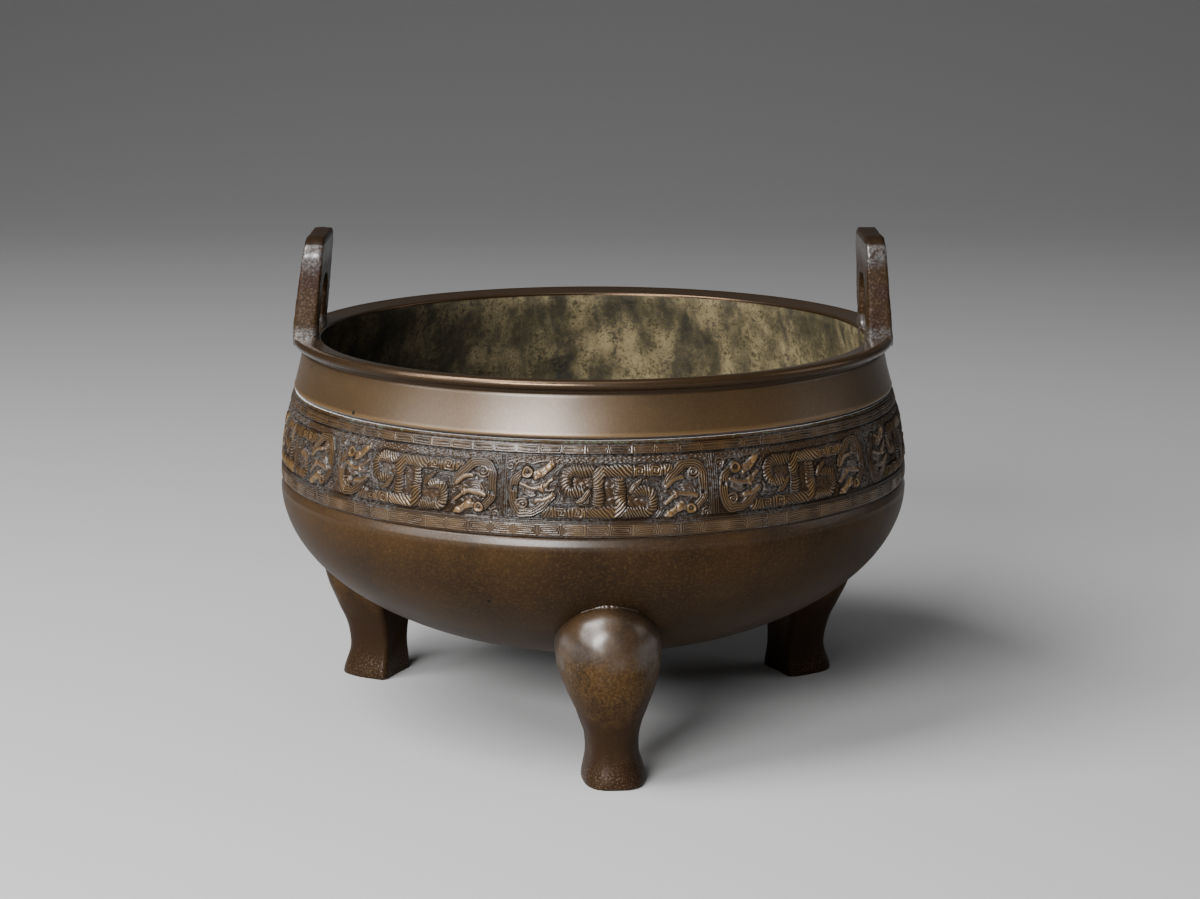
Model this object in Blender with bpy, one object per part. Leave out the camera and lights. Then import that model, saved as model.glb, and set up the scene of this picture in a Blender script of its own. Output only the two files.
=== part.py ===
"""A small cast bronze ding: a round bowl on three legs with two upright handles.

One casting, so one object. It is turned round +Z, stands on z = 0 with its axis on the origin, and
its front faces -Y. The handles stand on the lip at -X and +X. Azimuths are measured from the front
towards +X. Lengths are in metres.
"""

import math

import bmesh
import bpy
from mathutils import Vector

# Belly: the lower half of an ellipsoid, hung below its shoulder
BELLY_RADIUS = 0.0802
BELLY_DEPTH = 0.042
SHOULDER_HEIGHT = 0.060
WALL = 0.004

# Frieze: a zone with a raised border above and below a sunk field
LEDGE_RISE = 0.0020
GROOVE_WIDTH = 0.0006
GROOVE_DEPTH = 0.0007
FRIEZE_HEIGHT = 0.0224
FRIEZE_PROUD = 0.0004
FRIEZE_TAPER = 0.0036
BORDER_HEIGHT = 0.0030
FIELD_DEPTH = 0.0009
PANELS = 10
PANEL_TURN = math.radians(2.7)

# Neck and lip
NECK_HEIGHT = 0.0102
NECK_STEP = 0.0006
NECK_TAPER = 0.0024
NECK_WALL = 0.0046
LIP_HEIGHT = 0.0032
LIP_OVERHANG = 0.0025
LIP_SLOPE = 0.0009
LIP_ROUNDING = 0.0009

# Handles: upright plates with an arched opening, leaning in towards the axis
HANDLE_WIDTH = 0.029
HANDLE_RISE = 0.0250
HANDLE_CORNER = 0.005
HANDLE_FOOT_THICKNESS = 0.0062
HANDLE_TOP_THICKNESS = 0.0049
HANDLE_INSET = 0.0014
HANDLE_LEAN = 0.0026
HANDLE_SINK = 0.0012
HANDLE_EDGE = 0.0007
OPENING_WIDTH = 0.014
OPENING_RISE = 0.0140
OPENING_CORNER = 0.0055

# Legs: rounded outside, flat inside, waisted above the foot. The back two stand further in
FRONT_LEG_INSET = 0.0193
RIGHT_LEG_INSET = 0.0242
LEFT_LEG_INSET = 0.0226
FRONT_LEG_AZIMUTH = math.radians(3.1)
RIGHT_LEG_AZIMUTH = math.radians(116.0)
LEFT_LEG_AZIMUTH = math.radians(-114.5)
FOOT_WIDTH = 0.0154
FOOT_DEPTH = 0.0152
ANKLE_HEIGHT = 0.0080
ANKLE_WIDTH = 0.0127
ANKLE_DEPTH = 0.0134
KNEE_HEIGHT = 0.0320
KNEE_WIDTH = 0.0255
KNEE_DEPTH = 0.0215
KNEE_RISE = 0.0126
LEG_SWAY = 0.0013
FOOT_ROUNDNESS = 3.0
KNEE_ROUNDNESS = 2.25

# Interlaced serpents in each panel: a strap, a coil, a head and an eye, twice over
MOTIF_DROP = 0.0003
STRAP_WIDTH = 0.0027
COIL_WIDTH = 0.0025
HEAD_WIDTH = 0.0018
EYE_RADIUS = 0.0015
EYE_RISE = 0.0004
BAND_OFFSET = 0.00475
LIMB_OFFSET = 0.0026
STRAP_ROOT = 0.0005

# Fineness of the solid
SIDES = 6 * PANELS
BELLY_STEPS = 8
CORNER_STEPS = 3
FOOT_STEPS = 2
SHIN_STEPS = 5
KNEE_STEPS = 4
LEG_SIDES = 8
EYE_SIDES = 6

BRONZE_COLOUR = (0.115, 0.078, 0.047, 1.0)
BRONZE_METALLIC = 0.85
BRONZE_ROUGHNESS = 0.42

# Radii that follow from the sizes above, from the belly up to the mouth
FRIEZE_FOOT_RADIUS = BELLY_RADIUS + FRIEZE_PROUD
FRIEZE_TOP_RADIUS = FRIEZE_FOOT_RADIUS - FRIEZE_TAPER
NECK_FOOT_RADIUS = FRIEZE_TOP_RADIUS - NECK_STEP
NECK_TOP_RADIUS = NECK_FOOT_RADIUS - NECK_TAPER
LIP_RADIUS = NECK_TOP_RADIUS + LIP_OVERHANG
MOUTH_RADIUS = NECK_TOP_RADIUS - NECK_WALL

# Heights that follow from the sizes above
FRIEZE_FOOT = SHOULDER_HEIGHT + LEDGE_RISE
FRIEZE_TOP = FRIEZE_FOOT + FRIEZE_HEIGHT
NECK_FOOT = FRIEZE_TOP + GROOVE_WIDTH
NECK_TOP = NECK_FOOT + NECK_HEIGHT
LIP_TOP = NECK_TOP + LIP_HEIGHT
FIELD_MIDDLE = FRIEZE_FOOT + FRIEZE_HEIGHT / 2 - MOTIF_DROP


def clear_scene():
    """Remove what a new file holds."""
    for scene_object in list(bpy.data.objects):
        bpy.data.objects.remove(scene_object)


def bronze():
    """Brown patinated bronze."""
    material = bpy.data.materials.new("bronze")
    material.use_nodes = True
    shader = material.node_tree.nodes["Principled BSDF"]
    shader.inputs["Base Color"].default_value = BRONZE_COLOUR
    shader.inputs["Metallic"].default_value = BRONZE_METALLIC
    shader.inputs["Roughness"].default_value = BRONZE_ROUGHNESS
    return material


def new_object(name, bm):
    """Make an object of a closed bmesh, with its faces pointing out."""
    bmesh.ops.recalc_face_normals(bm, faces=bm.faces)
    mesh = bpy.data.meshes.new(name)
    bm.to_mesh(mesh)
    bm.free()
    made = bpy.data.objects.new(name, mesh)
    bpy.context.collection.objects.link(made)
    return made


def around(azimuth, radius, height):
    """The point at an azimuth from the front, a radius from the axis and a height."""
    return Vector((radius * math.sin(azimuth), -radius * math.cos(azimuth), height))


def belly_radius(height, inset=0.0):
    """Radius of the belly, or of a surface that far inside it, at a height."""
    share = (SHOULDER_HEIGHT - height) / (BELLY_DEPTH - inset)
    return (BELLY_RADIUS - inset) * math.sqrt(max(0.0, 1.0 - share * share))


def frieze_radius(height):
    """Radius of the smooth skin over the frieze's highest relief."""
    share = (height - FRIEZE_FOOT) / FRIEZE_HEIGHT
    return FRIEZE_FOOT_RADIUS - FRIEZE_TAPER * share * share


def ease(share):
    """A share from 0 to 1 that starts and ends level."""
    return 0.5 - 0.5 * math.cos(math.pi * share)


def outer_profile():
    """Radius and height down the outside, from the lip's inner edge to the pole below."""
    lip_middle = LIP_TOP - LIP_HEIGHT / 2
    points = [
        (MOUTH_RADIUS + LIP_ROUNDING, LIP_TOP - LIP_SLOPE),
        (LIP_RADIUS - 2 * LIP_ROUNDING, LIP_TOP),
        (LIP_RADIUS - LIP_ROUNDING / 2, LIP_TOP - LIP_ROUNDING / 3),
        (LIP_RADIUS, lip_middle),
        (LIP_RADIUS - LIP_ROUNDING / 2, lip_middle - LIP_ROUNDING),
        (NECK_TOP_RADIUS, NECK_TOP),
        (NECK_FOOT_RADIUS, NECK_FOOT),
        (FRIEZE_TOP_RADIUS - GROOVE_DEPTH, FRIEZE_TOP + GROOVE_WIDTH / 3),
    ]
    field_foot = FRIEZE_FOOT + BORDER_HEIGHT
    field_top = FRIEZE_TOP - BORDER_HEIGHT
    for height, depth in (
        (FRIEZE_TOP, 0.0),
        (field_top + GROOVE_WIDTH, 0.0),
        (field_top, FIELD_DEPTH),
        ((field_top + field_foot) / 2, FIELD_DEPTH),
        (field_foot, FIELD_DEPTH),
        (field_foot - GROOVE_WIDTH, 0.0),
        (FRIEZE_FOOT + GROOVE_WIDTH, 0.0),
        (FRIEZE_FOOT, GROOVE_DEPTH),
    ):
        points.append((frieze_radius(height) - depth, height))
    for step in range(BELLY_STEPS):
        angle = math.pi / 2 * (1 - step / BELLY_STEPS)
        points.append((BELLY_RADIUS * math.sin(angle), SHOULDER_HEIGHT - BELLY_DEPTH * math.cos(angle)))
    points.append((0.0, SHOULDER_HEIGHT - BELLY_DEPTH))
    return points


def inner_profile():
    """Radius and height up the inside, from the pole to the lip's inner edge."""
    points = [(0.0, SHOULDER_HEIGHT - BELLY_DEPTH + WALL)]
    for step in range(1, BELLY_STEPS + 1):
        angle = math.pi / 2 * step / BELLY_STEPS
        points.append((
            (BELLY_RADIUS - WALL) * math.sin(angle),
            SHOULDER_HEIGHT - (BELLY_DEPTH - WALL) * math.cos(angle),
        ))
    points.append((frieze_radius(FIELD_MIDDLE) - FIELD_DEPTH - WALL, FIELD_MIDDLE))
    points.append((FRIEZE_TOP_RADIUS - WALL - FIELD_DEPTH, FRIEZE_TOP))
    points.append((MOUTH_RADIUS, NECK_TOP))
    points.append((MOUTH_RADIUS, LIP_TOP - LIP_SLOPE - LIP_ROUNDING))
    return points


def turned_bowl():
    """The bowl with its neck and lip, turned round the axis as one closed wall."""
    bm = bmesh.new()
    profile = outer_profile() + inner_profile()
    rings = []
    for radius, height in profile:
        if radius == 0.0:
            rings.append([bm.verts.new((0.0, 0.0, height))])
            continue
        rings.append([
            bm.verts.new(around(2 * math.pi * side / SIDES + PANEL_TURN, radius, height))
            for side in range(SIDES)
        ])
    for upper, lower in zip(rings, rings[1:] + rings[:1]):
        if len(upper) == 1 and len(lower) == 1:
            continue
        for side in range(SIDES):
            after = (side + 1) % SIDES
            if len(lower) == 1:
                bm.faces.new((upper[side], upper[after], lower[0]))
            elif len(upper) == 1:
                bm.faces.new((upper[0], lower[after], lower[side]))
            else:
                bm.faces.new((upper[side], upper[after], lower[after], lower[side]))
    return new_object("vessel", bm)


def arch_path(half_width, foot, top, corner):
    """One leg, two rounded corners and the other leg of an upright arch, as (y, z) points."""
    points = [(-half_width, foot)]
    for side, start in ((-1, math.pi), (1, math.pi / 2)):
        for step in range(CORNER_STEPS + 1):
            angle = start - math.pi / 2 * step / CORNER_STEPS
            points.append((
                side * (half_width - corner) + corner * math.cos(angle),
                top - corner + corner * math.sin(angle),
            ))
    points.append((half_width, foot))
    return points


def handle(name, side):
    """An upright handle on the lip, on the side where x has this sign."""
    foot = LIP_TOP - LIP_SLOPE - HANDLE_SINK
    outer_path = arch_path(HANDLE_WIDTH / 2, foot, LIP_TOP + HANDLE_RISE, HANDLE_CORNER)
    inner_path = arch_path(OPENING_WIDTH / 2, foot, LIP_TOP + OPENING_RISE, OPENING_CORNER)
    outside_foot = LIP_RADIUS - HANDLE_INSET

    def point(y, z, thickness_share):
        rise = (z - LIP_TOP) / HANDLE_RISE
        thickness = HANDLE_FOOT_THICKNESS + (HANDLE_TOP_THICKNESS - HANDLE_FOOT_THICKNESS) * rise
        middle = outside_foot - HANDLE_FOOT_THICKNESS / 2 - HANDLE_LEAN * rise
        return (side * (middle + thickness * (thickness_share - 0.5)), y, z)

    bm = bmesh.new()
    rings = []
    for (outer_y, outer_z), (inner_y, inner_z) in zip(outer_path, inner_path):
        rings.append([
            bm.verts.new(point(outer_y, outer_z, 1.0)),
            bm.verts.new(point(outer_y, outer_z, 0.0)),
            bm.verts.new(point(inner_y, inner_z, 0.0)),
            bm.verts.new(point(inner_y, inner_z, 1.0)),
        ])
    skin_rings(bm, rings)
    made = new_object(name, bm)
    bevel = made.modifiers.new("worn edges", "BEVEL")
    bevel.width = HANDLE_EDGE
    bevel.segments = 1
    bevel.limit_method = "ANGLE"
    bevel.angle_limit = math.radians(50)
    return made


def skin_rings(bm, rings):
    """Join rings of as many corners each into a closed tube with flat ends."""
    corners = len(rings[0])
    for ring, following in zip(rings, rings[1:]):
        for corner in range(corners):
            after = (corner + 1) % corners
            bm.faces.new((ring[corner], ring[after], following[after], following[corner]))
    bm.faces.new(rings[0])
    bm.faces.new(list(reversed(rings[-1])))


def leg_section(height, inset):
    """Width, inner radius and outer radius of a leg at a height."""
    inner = BELLY_RADIUS - inset
    if height <= ANKLE_HEIGHT:
        share = ease(height / ANKLE_HEIGHT)
        width = FOOT_WIDTH + (ANKLE_WIDTH - FOOT_WIDTH) * share
        depth = FOOT_DEPTH + (ANKLE_DEPTH - FOOT_DEPTH) * share
        return width, inner, inner + depth
    if height <= KNEE_HEIGHT:
        share = ease((height - ANKLE_HEIGHT) / (KNEE_HEIGHT - ANKLE_HEIGHT))
        width = ANKLE_WIDTH + (KNEE_WIDTH - ANKLE_WIDTH) * share
        depth = ANKLE_DEPTH + (KNEE_DEPTH - ANKLE_DEPTH) * share
        return width, inner, inner + depth
    rise = (height - KNEE_HEIGHT) / KNEE_RISE
    shrink = math.sqrt(max(0.0, 1.0 - rise * rise))
    top_radius = belly_radius(KNEE_HEIGHT + KNEE_RISE, WALL / 4)
    outer = top_radius + (inner + KNEE_DEPTH - top_radius) * shrink
    return KNEE_WIDTH * shrink, max(inner, belly_radius(height, WALL / 2)), outer


def leg(name, azimuth, inset):
    """A leg with its flat side towards the axis, its top buried in the belly's wall."""
    outward = around(azimuth, 1.0, 0.0)
    along = around(azimuth + math.pi / 2, 1.0, 0.0)
    shin = KNEE_HEIGHT - ANKLE_HEIGHT
    heights = [ANKLE_HEIGHT * step / FOOT_STEPS for step in range(FOOT_STEPS)]
    heights += [ANKLE_HEIGHT + shin * step / SHIN_STEPS for step in range(SHIN_STEPS)]
    heights += [
        KNEE_HEIGHT + KNEE_RISE * math.sin(math.pi / 2 * step / (KNEE_STEPS + 0.5))
        for step in range(KNEE_STEPS + 1)
    ]
    bm = bmesh.new()
    rings = []
    for height in heights:
        width, inner, outer = leg_section(height, inset)
        fall = max(0.0, 1.0 - height / KNEE_HEIGHT)
        sway = LEG_SWAY * fall
        roundness = KNEE_ROUNDNESS + (FOOT_ROUNDNESS - KNEE_ROUNDNESS) * fall
        ring = []
        for side in range(LEG_SIDES + 1):
            angle = math.pi * (side / LEG_SIDES - 0.5)
            across = math.copysign(abs(math.sin(angle)) ** (2 / roundness), angle)
            reach = abs(math.cos(angle)) ** (2 / roundness)
            place = outward * (inner + (outer - inner) * reach)
            place += along * (sway + width / 2 * across)
            ring.append(bm.verts.new((place.x, place.y, height)))
        rings.append(ring)
    skin_rings(bm, rings)
    return new_object(name, bm)


def rounded_path(points, radius, steps):
    """Round the corners of a path of (u, v) points with arcs of one radius."""
    path = [Vector(points[0])]
    for before, corner, after in zip(points, points[1:], points[2:]):
        corner = Vector(corner)
        back = (Vector(before) - corner).normalized()
        forth = (Vector(after) - corner).normalized()
        half_turn = (math.pi - back.angle(forth)) / 2
        cut = radius * math.tan(half_turn)
        middle = corner + (back + forth).normalized() * radius / math.cos(half_turn)
        start = corner + back * cut - middle
        side = math.copysign(1.0, back.x * forth.y - back.y * forth.x)
        for step in range(steps + 1):
            angle = side * half_turn * -2 * step / steps
            path.append(middle + Vector((
                start.x * math.cos(angle) - start.y * math.sin(angle),
                start.x * math.sin(angle) + start.y * math.cos(angle),
            )))
    path.append(Vector(points[-1]))
    return path


def on_frieze(azimuth, across, up, rise):
    """Lay a point of a panel on the frieze: across and up in the panel, rise above the field."""
    height = FIELD_MIDDLE + up
    radius = frieze_radius(height) - FIELD_DEPTH + rise
    return around(azimuth + across / FRIEZE_FOOT_RADIUS, radius, height)


def strap(name, azimuth, turn, path, width, rise):
    """A raised strap with sloping sides along a path. turn is 1, or -1 for the panel's other half."""
    bm = bmesh.new()
    rings = []
    for index, place in enumerate(path):
        before = path[max(index - 1, 0)]
        after = path[min(index + 1, len(path) - 1)]
        ahead = (after - before).normalized()
        sideways = Vector((-ahead.y, ahead.x))
        ring = []
        for share, top in ((-0.5, -STRAP_ROOT), (-0.3, rise), (0.3, rise), (0.5, -STRAP_ROOT)):
            spot = (place + sideways * width * share) * turn
            ring.append(bm.verts.new(on_frieze(azimuth, spot.x, spot.y, top)))
        rings.append(ring)
    skin_rings(bm, rings)
    return new_object(name, bm)


def eye(name, azimuth, turn, place):
    """A serpent's round eye, a boss standing a little above its head."""
    bm = bmesh.new()
    rings = []
    for share, rise in ((1.0, -STRAP_ROOT), (1.0, FIELD_DEPTH / 2), (0.55, FIELD_DEPTH + EYE_RISE)):
        ring = []
        for side in range(EYE_SIDES):
            angle = 2 * math.pi * side / EYE_SIDES
            across = (place.x + EYE_RADIUS * share * math.cos(angle)) * turn
            up = (place.y + EYE_RADIUS * share * math.sin(angle)) * turn
            ring.append(bm.verts.new(on_frieze(azimuth, across, up, rise)))
        rings.append(ring)
    skin_rings(bm, rings)
    return new_object(name, bm)


def serpent(name, azimuth, turn):
    """Half of a panel's figure: a serpent's strap, its coil and its head with an eye."""
    half_panel = math.pi / PANELS * FRIEZE_FOOT_RADIUS
    band_end = half_panel * 0.57
    body = rounded_path(
        [(-LIMB_OFFSET, -BAND_OFFSET), (-LIMB_OFFSET, BAND_OFFSET), (band_end, BAND_OFFSET)],
        STRAP_WIDTH * 0.7, 2,
    )
    coil_right = half_panel * 0.41
    coil_left = half_panel * 0.24
    coil = rounded_path(
        [(LIMB_OFFSET * 1.5, -BAND_OFFSET), (coil_right, -BAND_OFFSET), (coil_right, 0.0), (coil_left, 0.0)],
        COIL_WIDTH * 0.8, 2,
    )
    eye_place = Vector((half_panel * 0.77, -BAND_OFFSET * 0.86))
    head = rounded_path(
        [
            (half_panel * 0.54, BAND_OFFSET * 0.3),
            (half_panel * 0.66, BAND_OFFSET * 1.15),
            (half_panel * 0.90, BAND_OFFSET * 1.15),
            (half_panel * 0.90, -BAND_OFFSET * 0.55),
            eye_place,
            (half_panel * 0.55, -BAND_OFFSET * 1.15),
        ],
        HEAD_WIDTH * 0.8, 1,
    )
    return [
        strap(name + "_body", azimuth, turn, body, STRAP_WIDTH, FIELD_DEPTH),
        strap(name + "_coil", azimuth, turn, coil, COIL_WIDTH, FIELD_DEPTH * 0.9),
        strap(name + "_head", azimuth, turn, head, HEAD_WIDTH, FIELD_DEPTH * 0.8),
        eye(name + "_eye", azimuth, turn, eye_place),
    ]


def cast_onto(vessel, pieces, name):
    """Join solids to the vessel with one Boolean union, and hide them as its tools."""
    group = bpy.data.collections.new(name)
    for piece in pieces:
        group.objects.link(piece)
        piece.hide_render = True
        piece.display_type = "WIRE"
    union = vessel.modifiers.new(name, "BOOLEAN")
    union.operation = "UNION"
    union.operand_type = "COLLECTION"
    union.collection = group
    union.solver = "EXACT"
    union.use_self = True


def build():
    """Model the vessel and everything cast with it."""
    clear_scene()
    vessel = turned_bowl()
    vessel.data.materials.append(bronze())
    limbs = [
        handle("handle_left", -1),
        handle("handle_right", 1),
        leg("leg_front", FRONT_LEG_AZIMUTH, FRONT_LEG_INSET),
        leg("leg_right", RIGHT_LEG_AZIMUTH, RIGHT_LEG_INSET),
        leg("leg_left", LEFT_LEG_AZIMUTH, LEFT_LEG_INSET),
    ]
    cast_onto(vessel, limbs, "limbs")
    figures = []
    for panel in range(PANELS):
        azimuth = PANEL_TURN + 2 * math.pi * panel / PANELS
        for turn in (1, -1):
            figures += serpent("serpent_%d_%s" % (panel, "a" if turn == 1 else "b"), azimuth, turn)
    cast_onto(vessel, figures, "figures")


build()
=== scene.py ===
"""A small cast bronze ding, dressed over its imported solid.

The bowl is turned, its frieze is a carved height field of interlaced dragons repeated round it, and
the handles and legs are skinned from their sections. Lengths are in metres, +Z is up, -Y is the
front, and azimuths run from the front towards +X.
"""

import math

import bmesh
import bpy
import numpy as np
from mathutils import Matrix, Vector


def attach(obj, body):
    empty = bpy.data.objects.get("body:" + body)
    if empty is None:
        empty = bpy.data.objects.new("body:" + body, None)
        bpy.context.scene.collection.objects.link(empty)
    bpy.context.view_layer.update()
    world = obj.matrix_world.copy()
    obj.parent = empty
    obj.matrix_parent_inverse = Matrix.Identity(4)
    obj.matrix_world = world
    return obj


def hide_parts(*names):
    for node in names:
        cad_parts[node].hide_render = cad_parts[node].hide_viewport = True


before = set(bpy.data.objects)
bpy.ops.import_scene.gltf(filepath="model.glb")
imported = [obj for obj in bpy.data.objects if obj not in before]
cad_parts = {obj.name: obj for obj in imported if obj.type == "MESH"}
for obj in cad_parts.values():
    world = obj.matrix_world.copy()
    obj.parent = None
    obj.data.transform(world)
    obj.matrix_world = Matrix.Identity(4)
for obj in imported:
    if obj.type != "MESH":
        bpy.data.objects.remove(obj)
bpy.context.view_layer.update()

bl_info = {
    "name": "Bronze ding",
    "version": (1, 0, 0),
    "blender": (4, 5, 0),
    "location": "View3D > Sidebar > Ding",
    "description": "Dresses the solid of a small cast bronze ding with its relief and patina",
    "category": "Object",
}

CAD_NODE = "vessel"
CAD_BODY = "root"
MM = 0.001
TURN = 2 * math.pi

# How far the neck's foot is let out against the frieze's step, and the mouth's rounded edge.
NECK_EASE = 0.2 * MM
MOUTH_ROUND = 0.7 * MM
# Waves of the hand finishing: share, times round the bowl, turn per metre of height, and phase.
WAVES = ((1.0, 2, 0, 0.7), (0.6, 5, 90, 1.9), (0.5, 9, -160, 0.4), (0.4, 17, 230, 2.2), (0.3, 29, -420, 5.1))
WAVE_SUM = 2.8
WAVE_LEVEL = 2.4
# Size, detail and roughness of the fine speckle that every finish has.
SPECKLE = (0.7 * MM, 3.0, 0.7)
# Softboxes: azimuth and elevation in degrees, then distance, width and height in metres.
SOFTBOXES = {
    "key": (-23, 23, 0.9, 0.42, 0.20),
    "side": (-58, 52, 0.9, 0.50, 0.50),
    "glint": (-64, 20, 0.9, 0.34, 0.14),
    "top": (-8, 74, 1.1, 0.6, 0.6),
    "fill": (95, 26, 1.1, 0.6, 0.6),
}
LIGHT_AIM = Vector((0.0, 0.0, 0.06))
WORLD_COLOUR = (0.038, 0.038, 0.039, 1.0)
SENSOR_WIDTH = 36.0


def length(name, description, default):
    """A length that a user may change."""
    return bpy.props.FloatProperty(
        name=name, description=description, default=default, min=0.0, precision=5,
        unit="LENGTH", subtype="DISTANCE",
    )


def number(name, description, default):
    """A plain number that a user may change."""
    return bpy.props.FloatProperty(name=name, description=description, default=default, precision=3)


def tally(name, description, default):
    """A whole number of at least one."""
    return bpy.props.IntProperty(name=name, description=description, default=default, min=1)


def bearing(name, description, degrees):
    """An angle, given here in degrees."""
    return bpy.props.FloatProperty(
        name=name, description=description, default=math.radians(degrees), unit="ROTATION", subtype="ANGLE",
    )


def tint(name, description, red, green, blue):
    """A colour in linear light."""
    return bpy.props.FloatVectorProperty(
        name=name, description=description, default=(red, green, blue, 1.0), size=4,
        min=0.0, max=1.0, subtype="COLOR",
    )


class DingBowl(bpy.types.PropertyGroup):
    """Sizes of the turned bowl, its neck and its lip."""
    belly_radius: length("Belly radius", "Outside radius at the shoulder", 0.0802)
    belly_depth: length("Belly depth", "From the shoulder down to the underside", 0.042)
    shoulder_height: length("Shoulder height", "Height of the widest line over the ground", 0.060)
    wall: length("Wall", "Thickness of the belly", 0.004)
    ledge_rise: length("Ledge rise", "Height of the plain ledge under the frieze", 0.0020)
    ledge_lean: length("Ledge lean", "How far the ledge falls back over its height", 0.0007)
    frieze_height: length("Frieze height", "Height of the whole carved zone", 0.0224)
    frieze_proud: length("Frieze stand", "How far the frieze's foot stands out past the belly", 0.0002)
    frieze_taper: length("Frieze taper", "How much narrower the frieze's top is", 0.0036)
    frieze_seat: length("Frieze seat", "Depth of the recess that the frieze is set in", 0.0017)
    groove: length("Groove", "Width of the groove above the frieze", 0.0007)
    groove_depth: length("Groove depth", "Depth of that groove", 0.0009)
    neck_height: length("Neck height", "Height of the plain neck", 0.0101)
    neck_step: length("Neck step", "How far the neck's foot stands back from the frieze", 0.0006)
    neck_taper: length("Neck taper", "How much narrower the neck's top is", 0.0024)
    neck_wall: length("Neck wall", "Thickness of the neck at its top", 0.0046)
    lip_height: length("Lip height", "Thickness of the lip", 0.0032)
    lip_overhang: length("Lip overhang", "How far the lip stands out past the neck", 0.0025)
    lip_slope: length("Lip slope", "How far the lip's top falls towards the mouth", 0.0009)
    unevenness: length("Unevenness", "How far hand finishing left the wall off true", 0.00010)
    sides: tally("Sides", "Facets round the bowl", 256)


class DingFrieze(bpy.types.PropertyGroup):
    """Sizes of the carved panels."""
    panels: tally("Panels", "Dragon panels round the bowl", 10)
    panels_each: tally("Panels a piece", "Panels that are joined in one piece", 2)
    turn: bearing("Turn", "Azimuth of the front panel's middle", 2.7)
    middle: length("Middle", "Height of the dragons' middle line", 0.0729)
    depth: length("Depth", "Depth of the sunk field", 0.0010)
    thickness: length("Thickness", "From the skin to the back of a piece", 0.0026)
    strap: length("Strap", "Width of a dragon's body", 0.0029)
    coil: length("Coil", "Width of a dragon's coiled tail", 0.0028)
    rib: length("Rib pitch", "Spacing of the ribs on the bodies", 0.00070)
    thread: length("Thread pitch", "Spacing of the fine threads of the ground", 0.0005)
    border_units: tally("Meander units", "Meander units over one panel", 9)
    columns: tally("Columns", "Mesh columns over one panel", 300)
    rows: tally("Rows", "Mesh rows over the frieze's height", 146)


class DingHandles(bpy.types.PropertyGroup):
    """Sizes of the two upright handles."""
    width: length("Width", "Width of a handle", 0.029)
    rise: length("Rise", "Height over the lip", 0.0248)
    corner: length("Corner", "Radius of the upper corners", 0.0055)
    foot_thickness: length("Foot thickness", "Thickness at the lip", 0.0062)
    top_thickness: length("Top thickness", "Thickness at the top", 0.0049)
    right_inset: length("Right inset", "How far the right handle stands in from the lip's edge", 0.0014)
    left_inset: length("Left inset", "The same for the left handle", 0.0008)
    right_lean: length("Right lean", "How far the right handle's top leans in", 0.0016)
    left_lean: length("Left lean", "The same for the left handle", 0.0032)
    sink: length("Sink", "How deep its feet reach into the lip", 0.0012)
    edge: length("Edge", "Radius of its worn edges", 0.0009)
    opening_width: length("Opening width", "Width of the arched opening", 0.014)
    opening_rise: length("Opening rise", "Height of the opening over the lip", 0.0140)
    opening_corner: length("Opening corner", "Radius of the opening's corners", 0.0055)
    collar: length("Collar", "How far the joint at the foot bulges", 0.0003)
    pebbling: length("Pebbling", "Height of the uneven casting skin", 0.00003)


class DingLegs(bpy.types.PropertyGroup):
    """Sizes of the three legs."""
    front: bearing("Front leg", "Azimuth of the front leg", 3.1)
    right: bearing("Right leg", "Azimuth of the right leg", 116.0)
    left: bearing("Left leg", "Azimuth of the left leg", -114.5)
    inset: length("Inset", "How far the front leg's flat back lies inside the belly's radius", 0.0193)
    left_inset: length("Left inset", "The same for the left leg", 0.0226)
    right_inset: length("Right inset", "The same for the right leg", 0.0242)
    foot_width: length("Foot width", "Width of a sole", 0.0154)
    foot_depth: length("Foot depth", "Depth of a sole", 0.0152)
    ankle_height: length("Ankle height", "Height of the waist", 0.0080)
    ankle_width: length("Ankle width", "Width at the waist", 0.0127)
    ankle_depth: length("Ankle depth", "Depth at the waist", 0.0134)
    knee_height: length("Knee height", "Height where a leg is widest", 0.0320)
    knee_width: length("Knee width", "Width there", 0.0255)
    knee_depth: length("Knee depth", "Depth there", 0.0213)
    knee_rise: length("Knee rise", "How far the knee reaches up the belly", 0.0126)
    sway: length("Sway", "How far a foot stands to one side", 0.0013)
    hollow: length("Hollow", "Hollow of the flat back", 0.0003)
    rim: length("Rim", "Radius of the raised line where knee meets belly", 0.00080)
    corner: length("Back corner", "Radius of the worn corners beside the flat back", 0.0015)
    roundness: number("Roundness", "Exponent of the rounded front at the knee", 2.25)
    foot_roundness: number("Foot roundness", "The same at the sole", 3.0)


class DingColours(bpy.types.PropertyGroup):
    """Colours of the bronze and its patina."""
    brown: tint("Brown", "The patina that covers most of the bronze", 0.052, 0.028, 0.0115)
    golden: tint("Golden", "Bronze worn warm on the high places", 0.175, 0.100, 0.036)
    # Umber is the thicker patina; it is also painted shade under the lip and on the lower belly.
    umber_and_shade: tint("Umber", "The darker, thicker patina", 0.020, 0.012, 0.007)
    # Soot is dark dirt in pits and cavities; on the frieze it is also painted shade in the cavities and
    # grooves.
    soot_and_shade: tint("Soot", "Dirt that stays in the cavities", 0.005, 0.004, 0.0035)
    plum: tint("Plum", "The reddish skin of lip and handles", 0.036, 0.016, 0.010)
    # Bloom's pale grey is also painted highlight on the handles, just under the crown.
    bloom: tint("Bloom", "Grey mineral bloom on the frieze", 0.110, 0.108, 0.108)
    verdigris: tint("Verdigris", "Green corrosion specks", 0.110, 0.170, 0.095)
    ash: tint("Ash", "Pale crust inside the bowl", 0.300, 0.240, 0.130)
    moss: tint("Moss", "Olive crust inside the bowl", 0.062, 0.053, 0.030)
    char: tint("Char", "Blue-black burnt metal inside the bowl", 0.016, 0.017, 0.018)


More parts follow.
